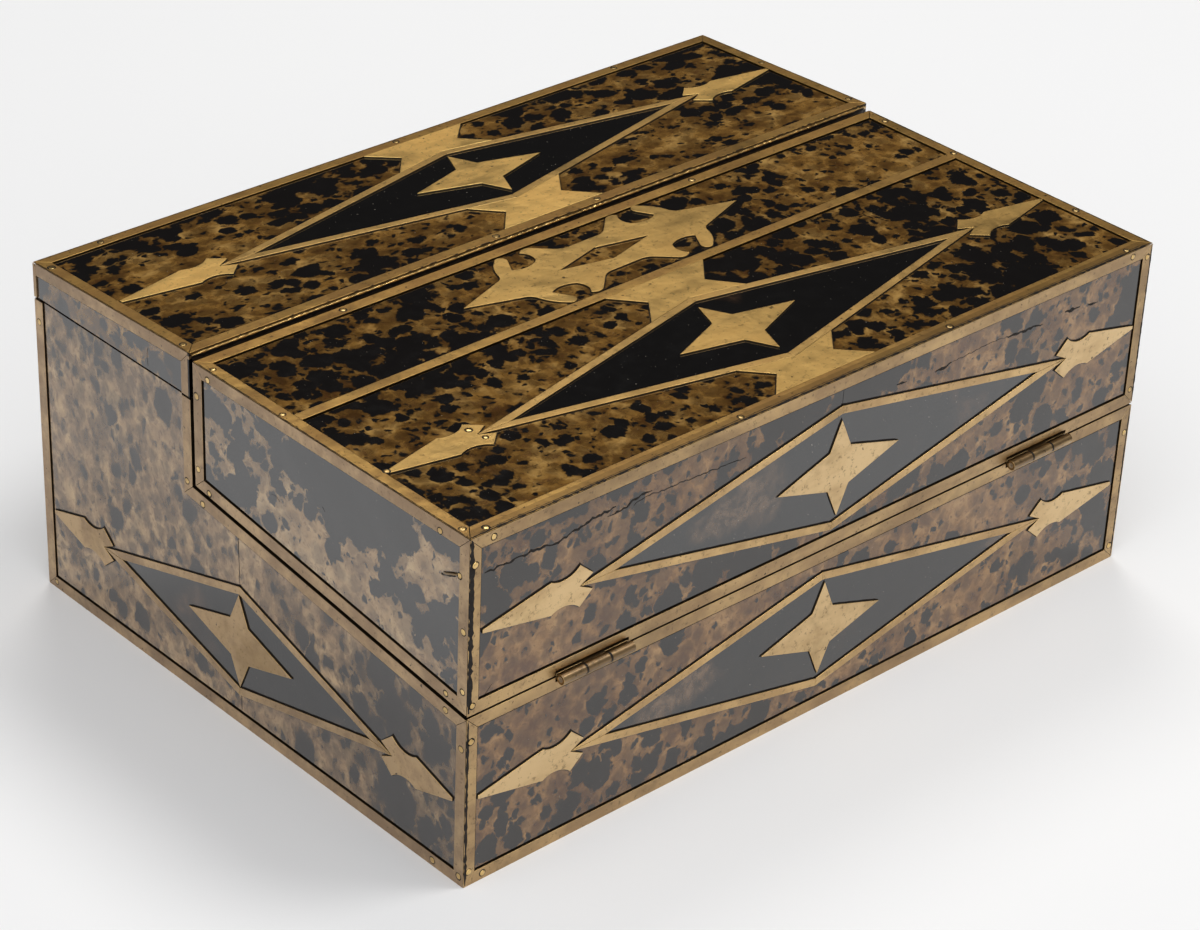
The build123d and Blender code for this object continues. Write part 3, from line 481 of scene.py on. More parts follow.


# Brass, each with its bright and its dull colour, set apart by face as painted light: the fronts paler as a
# painted reflection, the ends duller as tarnish with painted shade, the rear lid's inlay lighter as a
# painted highlight
END_BRASS = ((0.52, 0.355, 0.185), (0.34, 0.225, 0.125))
FRONT_INLAY_REFLECTION = ((0.69, 0.490, 0.245), (0.54, 0.368, 0.172))
FRONT_FILLET_REFLECTION = ((0.64, 0.425, 0.180), (0.47, 0.300, 0.130))
TOP_SHADE = -0.1235
GROOVE_LINE = (0.1455, 0.0004)
top_brass = brass("top_brass", 1.0, (0.60, 0.365, 0.108), (0.33, 0.188, 0.060), shade=TOP_SHADE)
inlay_brass = brass(
    "inlay_brass", 2.0, (0.66, 0.425, 0.140), (0.53, 0.330, 0.105), tarnish=0.60,
    ends=END_BRASS, fronts=FRONT_INLAY_REFLECTION,
)
fillet_brass = brass(
    "fillet_brass", 7.0, (0.68, 0.440, 0.155), (0.52, 0.325, 0.110), tarnish=0.52,
    ends=END_BRASS, fronts=FRONT_FILLET_REFLECTION,
)
# The rear lid's inlay is lighter than the other brass as a painted highlight
rear_brass_highlight = brass("rear_brass_highlight", 9.0, (0.92, 0.600, 0.200), (0.74, 0.465, 0.150), tarnish=0.58)
front_brass = brass("front_brass", 3.0, (0.52, 0.345, 0.150), (0.35, 0.225, 0.105))
end_brass = brass("end_brass", 4.0, *END_BRASS, tarnish=0.46)
hinge_brass = brass(
    "hinge_brass", 5.0, (0.60, 0.41, 0.18), (0.20, 0.125, 0.055), tarnish=0.46,
    pits=0.68, rough=0.30, sheet=False,
)
nail_brass = brass(
    "nail_brass", 6.0, (0.80, 0.55, 0.21), (0.46, 0.29, 0.10), tarnish=0.55,
    pits=0.74, rough=0.32, sheet=False,
)
edge_brass = brass("edge_brass", 8.0, *END_BRASS, tarnish=0.46, sheet=False, groove=GROOVE_LINE)

# Mastic, steel and wood
mastic = Finish("mastic")
lump = mastic.noise(mastic.place, 900, 3, 0.6)
mastic.set(Base_Color=mastic.mix(lump, (0.004, 0.003, 0.002), (0.016, 0.011, 0.008)))
mastic.set(Roughness=mastic.step(lump, 0.3, 0.7, 0.45, 0.75), Specular_IOR_Level=0.2)
mastic.set(Normal=mastic.bump(lump, 0.0001, 0.6))
pin_steel = plain_metal("pin_steel", (0.46, 0.43, 0.40), 0.30, 2.0)
case_wood = wood("case_wood", 1.0, (0.010, 0.0065, 0.0045), (0.036, 0.021, 0.013), 0.36)
fitting_wood = wood("fitting_wood", 2.0, (0.085, 0.032, 0.014), (0.27, 0.125, 0.055))

# Black lozenges, with the centre and reach of their clouds
BASE_CLOUDS = [
    ((-0.075, -HALF_Y, 0.038), (0.035, 0.05, 0.012)),
    ((0.105, -HALF_Y, 0.038), (0.02, 0.05, 0.006)),
]
LID_CLOUDS = [
    ((-0.048, -HALF_Y, 0.108), (0.028, 0.03, 0.014)),
    ((0.030, 0.0, TOP), (0.012, 0.01, 0.01)),
]
black_front = black_shell("black_front", 1.0, 0.56, clouds=BASE_CLOUDS)
black_lid = black_shell("black_lid", 4.0, 0.64, clouds=LID_CLOUDS)
black_rear = black_shell("black_rear", 3.0, 0.60)

# Glass and ink
glass = Finish("ink_glass")
ripple = glass.noise(glass.place, 120, 2)
smear = glass.noise(glass.place, 300, 3)
glass.set(Base_Color=(0.86, 0.93, 0.90, 1), Transmission_Weight=1.0, IOR=1.5)
glass.set(Roughness=glass.step(smear, 0.4, 0.8, 0.01, 0.08), Normal=glass.bump(ripple, 0.0006, 0.4))
ink = Finish("ink")
ink_cloud = ink.noise(ink.place, 90, 2)
ink.set(Base_Color=ink.mix(ink_cloud, (0.004, 0.005, 0.014), (0.008, 0.010, 0.030)))
ink.set(Roughness=0.08, IOR=1.34, Normal=ink.bump(ink.noise(ink.place, 60, 1), 0.0002, 0.3))

# Patches of darker or lighter shell: centre, reach along x, y and z, and growth of the spots
BASE_FRONT_PATCHES = [((0.03, -HALF_Y, 0.045), (0.03, 0.05, 0.02), 0.002)]
BASE_END_PATCHES = [
    ((-HALF_X, -0.098, 0.030), (0.05, 0.052, 0.060), 0.0034),
    ((HALF_X, 0.06, 0.05), (0.05, 0.05, 0.04), 0.002),
]
LID_FRONT_PATCHES = [
    ((0.02, -HALF_Y, 0.135), (0.035, 0.05, 0.012), 0.002),
    ((-0.08, -HALF_Y, 0.130), (0.05, 0.05, 0.01), -0.0012),
    ((0.115, -HALF_Y, 0.110), (0.080, 0.05, 0.045), -0.0011),
]
LID_END_PATCHES = [
    ((-HALF_X, -0.065, 0.129), (0.05, 0.044, 0.022), 0.0052),
    ((-HALF_X, -0.100, 0.106), (0.05, 0.026, 0.013), 0.0034),
    ((-HALF_X, 0.010, 0.101), (0.05, 0.014, 0.012), 0.0030),
    ((-HALF_X, -0.108, 0.123), (0.05, 0.022, 0.014), -0.0030),
    ((HALF_X, -0.030, 0.122), (0.05, 0.050, 0.020), 0.0050),
]
LID_TOP_PATCHES = [
    ((-0.12, -0.002, TOP), (0.065, 0.030, 0.05), -0.0012),
    ((0.12, -0.002, TOP), (0.070, 0.030, 0.05), -0.0016),
    ((-0.15, -0.112, TOP), (0.050, 0.030, 0.05), -0.0007),
    ((-0.12, -0.055, TOP), (0.060, 0.028, 0.05), -0.0014),
]
REAR_LID_PATCHES = [((-0.13, 0.075, TOP), (0.055, 0.045, 0.05), -0.0014)]

# What sheets on the same sides share
FRONT_LOOK = {"stretch": (1, 1, 0.92), "coat": 0.45, "black": WARM_BLACK, "size": 1.2}
TOP_LOOK = {"size": 1.1, "drift": 0.009}

finishes = {
    "base_front_shell": tortoiseshell(
        "shell_base_front", 1.0, BROWN, patches=BASE_FRONT_PATCHES, **FRONT_LOOK,
    ),
    "base_back_shell": tortoiseshell("shell_base_back", 2.0, BROWN, 0.0001, **FRONT_LOOK),
    "base_end_shells": tortoiseshell(
        "shell_base_ends", 3.0, DUSKY, -0.0016, (1, 1.1, 0.85), (0.35, 0, 0), coat=0.6, black=GREY_BLACK,
        size=1.45, soft=2.6, drift=0.006, patches=BASE_END_PATCHES,
    ),
    "lid_front_shell": tortoiseshell(
        "shell_lid_front", 4.0, BROWN, 0.0008, patches=LID_FRONT_PATCHES, **FRONT_LOOK,
    ),
    "lid_end_shells": tortoiseshell(
        "shell_lid_ends", 5.0, PALE, 0.0006, (1, 0.9, 0.85), patches=LID_END_PATCHES,
    ),
    "lid_top_shell": tortoiseshell(
        "shell_lid_top", 6.0, GOLDEN, 0.0006, patches=LID_TOP_PATCHES, **TOP_LOOK,
    ),
    "rear_lid_shell": tortoiseshell(
        "shell_rear_lid", 7.0, GOLDEN, 0.0003, (0.85, 1.05, 1), patches=REAR_LID_PATCHES, **TOP_LOOK,
    ),
    "base_lozenges": black_front,
    "lid_lozenges": black_lid,
    "rear_lid_lozenge": black_rear,
    "base_front_strips": front_brass,
    "base_back_strips": front_brass,
    "base_end_strips": end_brass,
    "lid_front_strips": front_brass,
    "lid_end_strips": end_brass,
    "lid_top_strips": top_brass,
    "rear_lid_top_strips": top_brass,
    "rear_lid_edge_strips": edge_brass,
    "writing_leather": leather("base_leather", 1.0, front=-0.1060, back=0.0162, half=0.1530),
    "lid_leather": leather("lid_leather", 2.0, front=-0.1060, back=0.0080, half=0.1530),
    "ink_bottles": glass.material,
    "hinge_pins": pin_steel,
}
REAR_INLAY = ("rear_lid_star", "rear_lid_spears", "rear_lid_brackets")
FITTINGS = ("pen_tray", "letter_partition", "till_boards", "well_ledges", "writing_board")
FITTINGS += ("lid_ledges", "lid_writing_board")
for name, node in nodes.items():
    if name in finishes:
        material = finishes[name]
    elif name in REAR_INLAY:
        material = rear_brass_highlight
    elif "fillets" in name:
        material = fillet_brass
    elif name.endswith(("star", "stars", "spears", "brackets")) or name == "scroll_ornament":
        material = inlay_brass
    elif "hinge_leaves" in name or "ink_" in name:
        material = hinge_brass
    elif name in FITTINGS:
        material = fitting_wood
    else:
        material = case_wood
    for holder in node.material_slots:
        holder.material = material


# Pieces built here: nail heads, a clinched pin, screws and ink

def frame_of(origin, across, up):
    """Matrix whose local x and y lie in a face and whose z points out of it."""
    x = Vector(across).normalized()
    y = Vector(up).normalized()
    z = x.cross(y)
    matrix = Matrix((x, y, z)).transposed().to_4x4()
    matrix.translation = Vector(origin)
    return matrix


LEFT = frame_of((-HALF_X, 0, 0), (0, -1, 0), (0, 0, 1))
RIGHT = frame_of((HALF_X, 0, 0), (0, 1, 0), (0, 0, 1))
FRONT = frame_of((0, -HALF_Y, 0), (1, 0, 0), (0, 0, 1))
BACK = frame_of((0, HALF_Y, 0), (-1, 0, 0), (0, 0, 1))
LID_TOP = frame_of((0, 0, TOP), (1, 0, 0), (0, 1, 0))
REAR_TOP = frame_of((0, STEP, REAR_FRONT), (1, 0, 0), (0, cos(TILT), -sin(TILT)))


def new_piece(name, mesh, body, material, smooth=True):
    """Visible piece from a bmesh, riding on a body."""
    data = bpy.data.meshes.new(name)
    bmesh.ops.recalc_face_normals(mesh, faces=mesh.faces)
    mesh.to_mesh(data)
    mesh.free()
    data.materials.append(material)
    for polygon in data.polygons:
        polygon.use_smooth = smooth
    piece = add_object(name, data)
    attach(piece, body)


def lathe(mesh, matrix, rings, sides=20, squash=1.0):
    """Closed turned form from (radius, height) rings; a radius of 0 closes an end."""
    loops = []
    for radius, height in rings:
        if radius == 0:
            loops.append([mesh.verts.new(matrix @ Vector((0, 0, height)))])
        else:
            loops.append([
                mesh.verts.new(matrix @ Vector((radius * cos(a) * squash, radius * sin(a), height)))
                for a in (2 * pi * i / sides for i in range(sides))
            ])
    for low, high in zip(loops, loops[1:]):
        for i in range(sides):
            j = (i + 1) % sides
            if len(low) == 1:
                mesh.faces.new((low[0], high[i], high[j]))
            elif len(high) == 1:
                mesh.faces.new((low[i], high[0], low[j]))
            else:
                mesh.faces.new((low[i], high[i], high[j], low[j]))


# How far the rings stand out of a face, then the heads on the ends and rear lid, then all others
RING_PROUD = 0.00001
END_PROUD = 0.00006
TOP_PROUD = 0.0003

# Ranges for nail heads and the rings round them
HEAD_RADII = (0.00100, 0.00128)
HEAD_LIFTS = (0.75, 1.0)
HEAD_SQUASH = (0.92, 1.0)
RING_WIDTHS = (0.00024, 0.00050)
RING_SHIFTS = (-0.0001, 0.0001)
RING_SQUASH = (0.9, 1.0)
HEAD_DEPTH = 0.0010
RING_DEPTH = 0.0005


def nails(name, face, spots, body, proud):
    """Round brass nail heads, hammered a little uneven, each in a dark worn ring, on one face."""
    heads = bmesh.new()
    rings = bmesh.new()
    for u, v in spots:
        radius = rng.uniform(*HEAD_RADII)
        lift = proud * rng.uniform(*HEAD_LIFTS)
        spot = face @ Matrix.Translation((u, v, 0)) @ Matrix.Rotation(rng.uniform(0, pi), 4, "Z")
        profile = [(0, -HEAD_DEPTH), (radius * 0.8, -HEAD_DEPTH), (radius, -0.0002), (radius, lift * 0.35)]
        profile += [(radius * 0.86, lift * 0.72), (radius * 0.55, lift * 0.95), (0, lift)]
        lathe(heads, spot, profile, squash=rng.uniform(*HEAD_SQUASH))
        reach = radius + rng.uniform(*RING_WIDTHS)
        shift = (rng.uniform(*RING_SHIFTS), rng.uniform(*RING_SHIFTS), 0)
        profile = [(0, -RING_DEPTH), (reach, -RING_DEPTH), (reach, RING_PROUD), (0, RING_PROUD)]
        lathe(rings, spot @ Matrix.Translation(shift), profile, squash=rng.uniform(*RING_SQUASH))
    new_piece(name + "_rings", rings, body, mastic.material, smooth=False)
    new_piece(name, heads, body, nail_brass)


def millimetres(points):
    return [(a / 1000, b / 1000) for a, b in points]


def mirrored(points):
    return [(-u, v) for u, v in points]


left_base = millimetres([
    (-31.8, 92.5), (-22.4, 86.8), (116.8, 70.4), (125.4, 58.6), (125.4, 3.8), (111, 2.4), (-122.5, 2.8),
    (-125.5, 119),
])
left_lid = millimetres([
    (-24.6, 131.5), (-24.6, 100.8), (-18.2, 93.4), (125.4, 107), (125.6, 82.6), (116.8, 77.4),
    (112.4, 141.0), (-17.6, 141.2), (123.0, 128.4),
])
front_base = millimetres([(-172.6, 62), (-172.4, 6), (-166, 2.5), (172.4, 6.2), (172.5, 60)])
front_lid = millimetres([
    (-164.5, 142.2), (-172.4, 134), (-172.4, 77), (163.3, 142.6), (172.4, 139.6), (172.5, 80),
])
back_base = millimetres([
    (-172.5, 8), (-172.5, 60), (-172.5, 120), (172.5, 8), (172.5, 64), (172.5, 118), (-60, 2.5), (60, 2.5),
    (0, 125.5),
])
lid_top = millimetres([
    (-172.8, -23.6), (-172.5, 17.4), (-172.5, -121), (-165.8, -125.2), (-47.4, -125.2), (61, -125.2),
    (161.7, -125.6), (172.5, -24), (172.5, -90), (172.5, 15), (-108, 24), (70, 24),
    (-168.6, -76.3), (-128.6, -72.3), (-127.2, -79.9),
])
rear_top = millimetres([
    (-172.4, 90.5), (-145.5, 97), (-172.5, 6.9), (-27.6, 2.3), (25, 2.6), (172.4, 8), (172.4, 60),
    (120, 97), (0, 97),
])
nails("base_left_nails", LEFT, left_base, "base", END_PROUD)
nails("base_right_nails", RIGHT, mirrored(left_base), "base", END_PROUD)
nails("lid_left_nails", LEFT, left_lid, "front_lid", END_PROUD)
nails("lid_right_nails", RIGHT, mirrored(left_lid), "front_lid", END_PROUD)
nails("base_front_nails", FRONT, front_base, "base", TOP_PROUD)
nails("base_back_nails", BACK, back_base, "base", TOP_PROUD)
nails("lid_front_nails", FRONT, front_lid, "front_lid", TOP_PROUD)
nails("lid_top_nails", LID_TOP, lid_top, "front_lid", TOP_PROUD)
nails("rear_lid_nails", REAR_TOP, rear_top, "rear_lid", END_PROUD)


def heading(path, i):
    """Direction of a path of vectors at its point i."""
    return (path[min(i + 1, len(path) - 1)] - path[max(i - 1, 0)]).normalized()


PIN_RADIUS = 0.00066
PIN_SIDES = 12
PIN_PATH = (
    (0.1222, 0.1282, -0.0014), (0.1219, 0.1281, -0.0009), (0.1206, 0.1277, -0.00060),
    (0.1183, 0.1268, -0.00060), (0.1163, 0.1259, -0.00060), (0.1146, 0.1252, -0.00070),
    (0.1139, 0.1249, -0.0012),
)


def clinched_pin():
    """Bent brass wire in a drilled hole on the left end of the front lid."""
    mesh = bmesh.new()
    path = [Vector(point) for point in PIN_PATH]
    loops = []
    for i, point in enumerate(path):
        along = heading(path, i)
        side = along.cross(Vector((0, 0, 1))).normalized()
        up = side.cross(along)
        loops.append([
            mesh.verts.new(LEFT @ (point + PIN_RADIUS * (side * cos(a) + up * sin(a))))
            for a in (2 * pi * k / PIN_SIDES for k in range(PIN_SIDES))
        ])
    for low, high in zip(loops, loops[1:]):
        for k in range(PIN_SIDES):
            m = (k + 1) % PIN_SIDES
            mesh.faces.new((low[k], low[m], high[m], high[k]))
    mesh.faces.new(loops[0])
    mesh.faces.new(loops[-1][::-1])
    new_piece("lid_clinched_pin", mesh, "front_lid", hinge_brass)


clinched_pin()


# Dark mastic round the inlays, with painted shadow on one side, cracks, seams, a painted pin shadow, open
# corners and painted shade in the groove

# Depth of the shell below the metal, furthest that a line may lie from the middle of the case, and slack
SHELL_DEPTH = 0.0006
LINE_LIMIT = 0.17498
FLAT_SLACK = 0.00003
DEPTH_SLACK = 0.0001

# Step along a line of mastic, its least width, what the painted shadow towards the lean and unevenness add,
# and how it is laid
STATION = 0.0021
MASTIC_WIDTH = 0.00026
LEAN_SHADOW_WIDTH = 0.00055
MASTIC_WANDER = 0.00012
MASTIC_GRAIN = 260
MASTIC_LAP = 0.0001
MASTIC_HALF = 0.00005

# Ray that looks for shell beside an edge: how far out of the edge it goes down, and from how high
LOOK_OUT = 0.0003
LOOK_FROM = 0.001


def strip_of(mesh, face, chain, closed, high, low):
    """Closed flat band along a chain of (inner, outer) points in a face."""
    rows = []
    for inner, outer in chain:
        corners = ((inner, high), (outer, high), (outer, low), (inner, low))
        rows.append([mesh.verts.new(face @ Vector((*point, level))) for point, level in corners])
    pairs = list(zip(rows, rows[1:]))
    if closed:
        pairs.append((rows[-1], rows[0]))
    for before, after in pairs:
        for k in range(4):
            m = (k + 1) % 4
            mesh.faces.new((before[k], before[m], after[m], after[k]))
    if not closed:
        mesh.faces.new(rows[0][::-1])
        mesh.faces.new(rows[-1])


def outer_edges(name, face):
    """Directed boundary segments of a node's flat faces in one face plane, with the metal on the left."""
    inverse = face.inverted()
    data = nodes[name].data
    local = [inverse @ vertex.co for vertex in data.vertices]
    key = [(round(p.x, 6), round(p.y, 6)) for p in local]
    directed = set()
    for polygon in data.polygons:
        if any(abs(local[i].z) > FLAT_SLACK for i in polygon.vertices):
            continue
        loop = [key[i] for i in polygon.vertices]
        area = sum(a[0] * b[1] - b[0] * a[1] for a, b in zip(loop, loop[1:] + loop[:1]))
        if area < 0:
            loop.reverse()
        for a, b in zip(loop, loop[1:] + loop[:1]):
            if (b, a) in directed:
                directed.discard((b, a))
            else:
                directed.add((a, b))
    return directed


def surface_of(name):
    """Search tree over the faces of a node."""
    data = nodes[name].data
    places = [vertex.co for vertex in data.vertices]
    return BVHTree.FromPolygons(places, [polygon.vertices for polygon in data.polygons])


def mastic_and_shadow_lines(name, body, face, metal, shells, lean):
    """Thin uneven dark line along every edge between metal and shell: mastic in the joint, widened towards
    lean as a painted shadow.
    """
    grounds = [surface_of(shell) for shell in shells]
    inward = -(face.to_3x3() @ Vector((0, 0, 1)))
    inverse = face.inverted()

    def over_shell(point):
        start = face @ Vector((*point, LOOK_FROM))
        for ground in grounds:
            hit = ground.ray_cast(start, inward)[0]
            if hit is not None and abs((inverse @ hit).z + SHELL_DEPTH) < DEPTH_SLACK:
                return True
        return False

    following = {}
    for node in metal:
        for a, b in sorted(outer_edges(node, face)):
            start = Vector(a)
            along = Vector(b) - start
            steps = max(1, round(along.length / STATION))
            out = Vector((along.y, -along.x)).normalized()
            points = [start + along * (i / steps) for i in range(1, steps)]
            points = [a] + [tuple(round(c, 6) for c in point) for point in points] + [b]
            for p, q in zip(points, points[1:]):
                middle = (Vector(p) + Vector(q)) / 2
                if over_shell(middle + out * LOOK_OUT):
                    following.setdefault(p, []).append((q, out))
    mesh = bmesh.new()
    ends = {q for links in following.values() for q, out in links}
    starts = sorted(p for p in following if p not in ends) + sorted(following)
    for first in starts:
        while following.get(first):
            path = [first]
            outs = []
            while following.get(path[-1]):
                q, out = following[path[-1]].pop(0)
                path.append(q)
                outs.append(out)
                if q == first:
                    break
            closed = path[-1] == first and len(path) > 3
            chain = []
            for i, point in enumerate(path[:-1] if closed else path):
                before = outs[i - 1] if i > 0 or closed else outs[0]
                after = outs[i] if i < len(outs) else outs[-1]
                lean_out = (before + after).normalized() if (before + after).length > 0.2 else after
                spread = min(1.5, 1 / max(0.5, lean_out.dot(after)))
                spot = Vector(point)
                rough = noise.noise(Vector((*(c * MASTIC_GRAIN for c in point), len(name))))
                # Painted shadow: the line widens on the side that faces lean
                width = MASTIC_WIDTH + LEAN_SHADOW_WIDTH * max(0.0, lean_out.dot(Vector(lean)))
                width += MASTIC_WANDER * rough
                chain.append((spot - lean_out * MASTIC_LAP, spot + lean_out * width * spread))
            strip_of(mesh, face, chain, closed, -SHELL_DEPTH + MASTIC_HALF, -SHELL_DEPTH - MASTIC_HALF)
    new_piece(name, mesh, body, mastic.material, smooth=False)


# Sides towards which the lines widen as painted shadow
END_LEAN = (0.6, 0.8)
FRONT_LEAN = (-0.6, 0.8)
NO_LEAN = (0, 0)

# Black sheets and small brass pieces of each body, then what lies in each face besides them
LOZENGES = {"base": "base_lozenges", "front_lid": "lid_lozenges", "rear_lid": "rear_lid_lozenge"}
INLAYS = {
    "base": ["base_fillets", "base_stars", "base_spears"],
    "front_lid": ["lid_fillets", "lid_stars", "lid_spears"],
    "rear_lid": ["rear_lid_fillets", "rear_lid_star", "rear_lid_spears"],
}
LID_TOP_METAL = ["lid_top_strips", "lid_brackets", "scroll_ornament"]
REAR_LID_METAL = ["rear_lid_top_strips", "rear_lid_brackets"]
for name, body, face, metal, shell, lean in (
    ("base_front_mastic", "base", FRONT, ["base_front_strips"], "base_front_shell", FRONT_LEAN),
    ("base_back_mastic", "base", BACK, ["base_back_strips"], "base_back_shell", FRONT_LEAN),
    ("base_left_mastic", "base", LEFT, ["base_end_strips"], "base_end_shells", END_LEAN),
    ("base_right_mastic", "base", RIGHT, ["base_end_strips"], "base_end_shells", FRONT_LEAN),
    ("lid_front_mastic", "front_lid", FRONT, ["lid_front_strips"], "lid_front_shell", FRONT_LEAN),
    ("lid_top_mastic", "front_lid", LID_TOP, LID_TOP_METAL, "lid_top_shell", NO_LEAN),
    ("rear_lid_mastic", "rear_lid", REAR_TOP, REAR_LID_METAL, "rear_lid_shell", NO_LEAN),
):
    mastic_and_shadow_lines(name, body, face, metal + INLAYS[body], [shell, LOZENGES[body]], lean)


CRACK_STEP = 0.0014


def inside(point):
    """The point, moved in where it lies past the ends of the case."""
    return Vector((max(-LINE_LIMIT, min(LINE_LIMIT, point.x)), point.y))


def cracks(name, body, face, lines, levels, seed, material=mastic.material):
    """Ragged dark lines in one face: each a list of points in millimetres, its breadth and unevenness."""
    high, low = levels
    dice = random.Random(seed)
    mesh = bmesh.new()
    for points, breadth, wander in lines:
        spots = [Vector(p) / 1000 for p in points]
        path = []
        for a, b in zip(spots, spots[1:]):
            steps = max(1, round((b - a).length / CRACK_STEP))
            path += [a + (b - a) * (i / steps) for i in range(steps)]
        path.append(spots[-1])
        chain = []
        for i, point in enumerate(path):
            along = heading(path, i)
            side = Vector((-along.y, along.x))
            taper = min(1.0, 0.25 + 0.25 * min(i, len(path) - 1 - i))
            middle = point + side * dice.uniform(-wander, wander) / 1000
            half = breadth / 2000 * taper * dice.uniform(0.45, 1.35)
            chain.append((inside(middle - side * half), inside(middle + side * half)))
        strip_of(mesh, face, chain, False, high, low)
    new_piece(name, mesh, body, material, smooth=False)


# Upper and lower level of a line against its face
ON_SHELL = (-SHELL_DEPTH + 0.00006, -SHELL_DEPTH - 0.00006)
ON_METAL = (RING_PROUD, -0.0003)
OFF_STEP = (0.0009, -0.0003)

# Cracks, seams, scratches and a painted shadow under the clinched pin
long_crack = [(-167.8, 128.7), (-145.9, 129.2), (-136.0, 128.2), (-131.1, 128.8)]
long_crack += [(-121.9, 131.1), (-108.4, 132.4)]
thin_crack = [(-100.0, 129.4), (-93.8, 131.0), (-84.0, 130.1), (-77.8, 130.4)]
thin_crack += [(-58.0, 129.2), (-45.5, 128.8)]
lid_front_lines = [
    (long_crack, 0.85, 0.50),
    ([(-112.2, 129.6), (-103.2, 129.9), (-100.5, 131.9), (-91.4, 132.6)], 0.80, 0.35),
    (thin_crack, 0.28, 0.40),
    ([(3.0, 132.9), (3.2, 139.6)], 0.30, 0.05),
    ([(-169.5, 79.0), (-164.5, 78.0)], 0.15, 0.30),
    ([(-168.0, 77.5), (-163.0, 82.0)], 0.12, 0.30),
    ([(31.8, 131.2), (37.3, 130.6)], 1.10, 0.20),
    ([(52.8, 129.6), (57.5, 129.4), (61.6, 130.3)], 1.50, 0.30),
    ([(61.6, 130.3), (74.0, 131.0), (87.7, 131.4), (92.0, 130.8)], 0.18, 0.35),
    ([(92.0, 130.8), (100.4, 130.1), (109.0, 130.0), (113.2, 129.2)], 0.95, 0.35),
    ([(125.8, 130.6), (130.0, 129.9), (134.5, 129.8)], 1.50, 0.25),
    ([(139.4, 129.0), (145.4, 128.4)], 1.40, 0.20),
]
base_left_lines = [
    ([(-1.7, 84.6), (-1.3, 61.9)], 0.28, 0.05),
    ([(-1.6, 13.4), (-1.3, 5.8)], 0.28, 0.05),
]
lid_left_pin_shadow_and_scratch_lines = [
    ([(18.6, 110.6), (21.0, 111.0), (23.0, 110.4), (23.8, 109.6)], 0.18, 0.1),
    ([(48.0, 119.5), (49.5, 118.0)], 0.15, 0.1),
    # Painted shadow of the clinched pin on the shell
    ([(112.9, 124.0), (117.0, 125.6), (120.6, 127.2)], 2.3, 0.1),
]
rear_left_lines = [([(-54.8, 138.2), (-55.6, 134.0), (-55.0, 130.6)], 0.22, 0.12)]
cracks("lid_front_cracks", "front_lid", FRONT, lid_front_lines, ON_SHELL, 5)
cracks("base_left_seam", "base", LEFT, base_left_lines, ON_SHELL, 6)
cracks("lid_left_pin_shadow_and_scratches", "front_lid", LEFT, lid_left_pin_shadow_and_scratch_lines, ON_SHELL, 7)
cracks("rear_lid_left_crack", "rear_lid", LEFT, rear_left_lines, ON_SHELL, 8)

# Open corners where two strips meet at an edge of the case
lid_top_gaps = [
    ([(-174.6, -127.2), (-60, -127.3), (60, -127.2), (174.6, -127.3)], 0.95, 0.10),
    ([(-171.0, -126.3), (-120, -126.4), (-40, -126.2), (60, -126.3), (171, -126.2)], 0.32, 0.06),
]
lid_top_gaps += [([(e * 174.45, -127.2), (e * 174.5, -50), (e * 174.4, 26.2)], 0.42, 0.08) for e in SIDES]
rear_top_gaps = [([(e * 174.45, 0.4), (e * 174.5, 98.8)], 0.30, 0.07) for e in SIDES]
rear_top_gaps.append(([(-174.5, 98.9), (174.5, 98.9)], 0.30, 0.07))
base_front_gaps = [
    ([(-174.1, 0.6), (-174.2, 71.0)], 1.3, 0.10),
    ([(174.1, 0.6), (174.2, 71.0)], 0.7, 0.10),
]
lid_front_gaps = [
    ([(-174.1, 74.4), (-173.8, 100), (-174.0, 144.4)], 2.3, 0.16),
    ([(174.5, 74.4), (174.4, 144.4)], 0.8, 0.10),
]
cracks("lid_top_corner_gaps", "front_lid", LID_TOP, lid_top_gaps, ON_METAL, 9)
cracks("rear_lid_corner_gaps", "rear_lid", REAR_TOP, rear_top_gaps, ON_METAL, 10)
cracks("base_front_corner_gaps", "base", FRONT, base_front_gaps, ON_METAL, 11)
cracks("lid_front_corner_gaps", "front_lid", FRONT, lid_front_gaps, ON_METAL, 12)

# Painted shade and a thin brass line on the rear lid's front face, in the groove between the lids
STEP_FACE = frame_of((0, STEP, 0), (1, 0, 0), (0, 0, 1))
groove_shade_lines = [
    ([(-174, 147.25), (174, 147.25)], 0.60, 0.02),
    ([(-174, 145.2), (174, 145.2)], 1.8, 0.10),
]
groove_edge = [([(-174, 146.55), (174, 146.55)], 0.60, 0.03)]
cracks("rear_lid_groove_shade", "rear_lid", STEP_FACE, groove_shade_lines, ON_METAL, 14)
cracks("rear_lid_groove_edge", "rear_lid", STEP_FACE, groove_edge, OFF_STEP, 15, nail_brass)

# Open corners at the back
back_gaps = [([(e * 174.35, 0.6), (e * 174.35, 127.5)], 0.50, 0.10) for e in SIDES]
cracks("base_back_corner_gaps", "base", BACK, back_gaps, ON_METAL, 13)

# Hinge screws: places along a leaf and out from the pin, sizes, and half the arc of each half in degrees
SCREW_PLACES = (-0.0112, 0.0, 0.0112)
SCREW_OUT = 0.0066
SCREW_RADIUS = 0.0017
SCREW_SHIFT = 0.00015
SCREW_PROUD = 0.00005
SCREW_DEPTH = 0.0006
SCREW_ARC = 80
SCREW_STEPS = 12


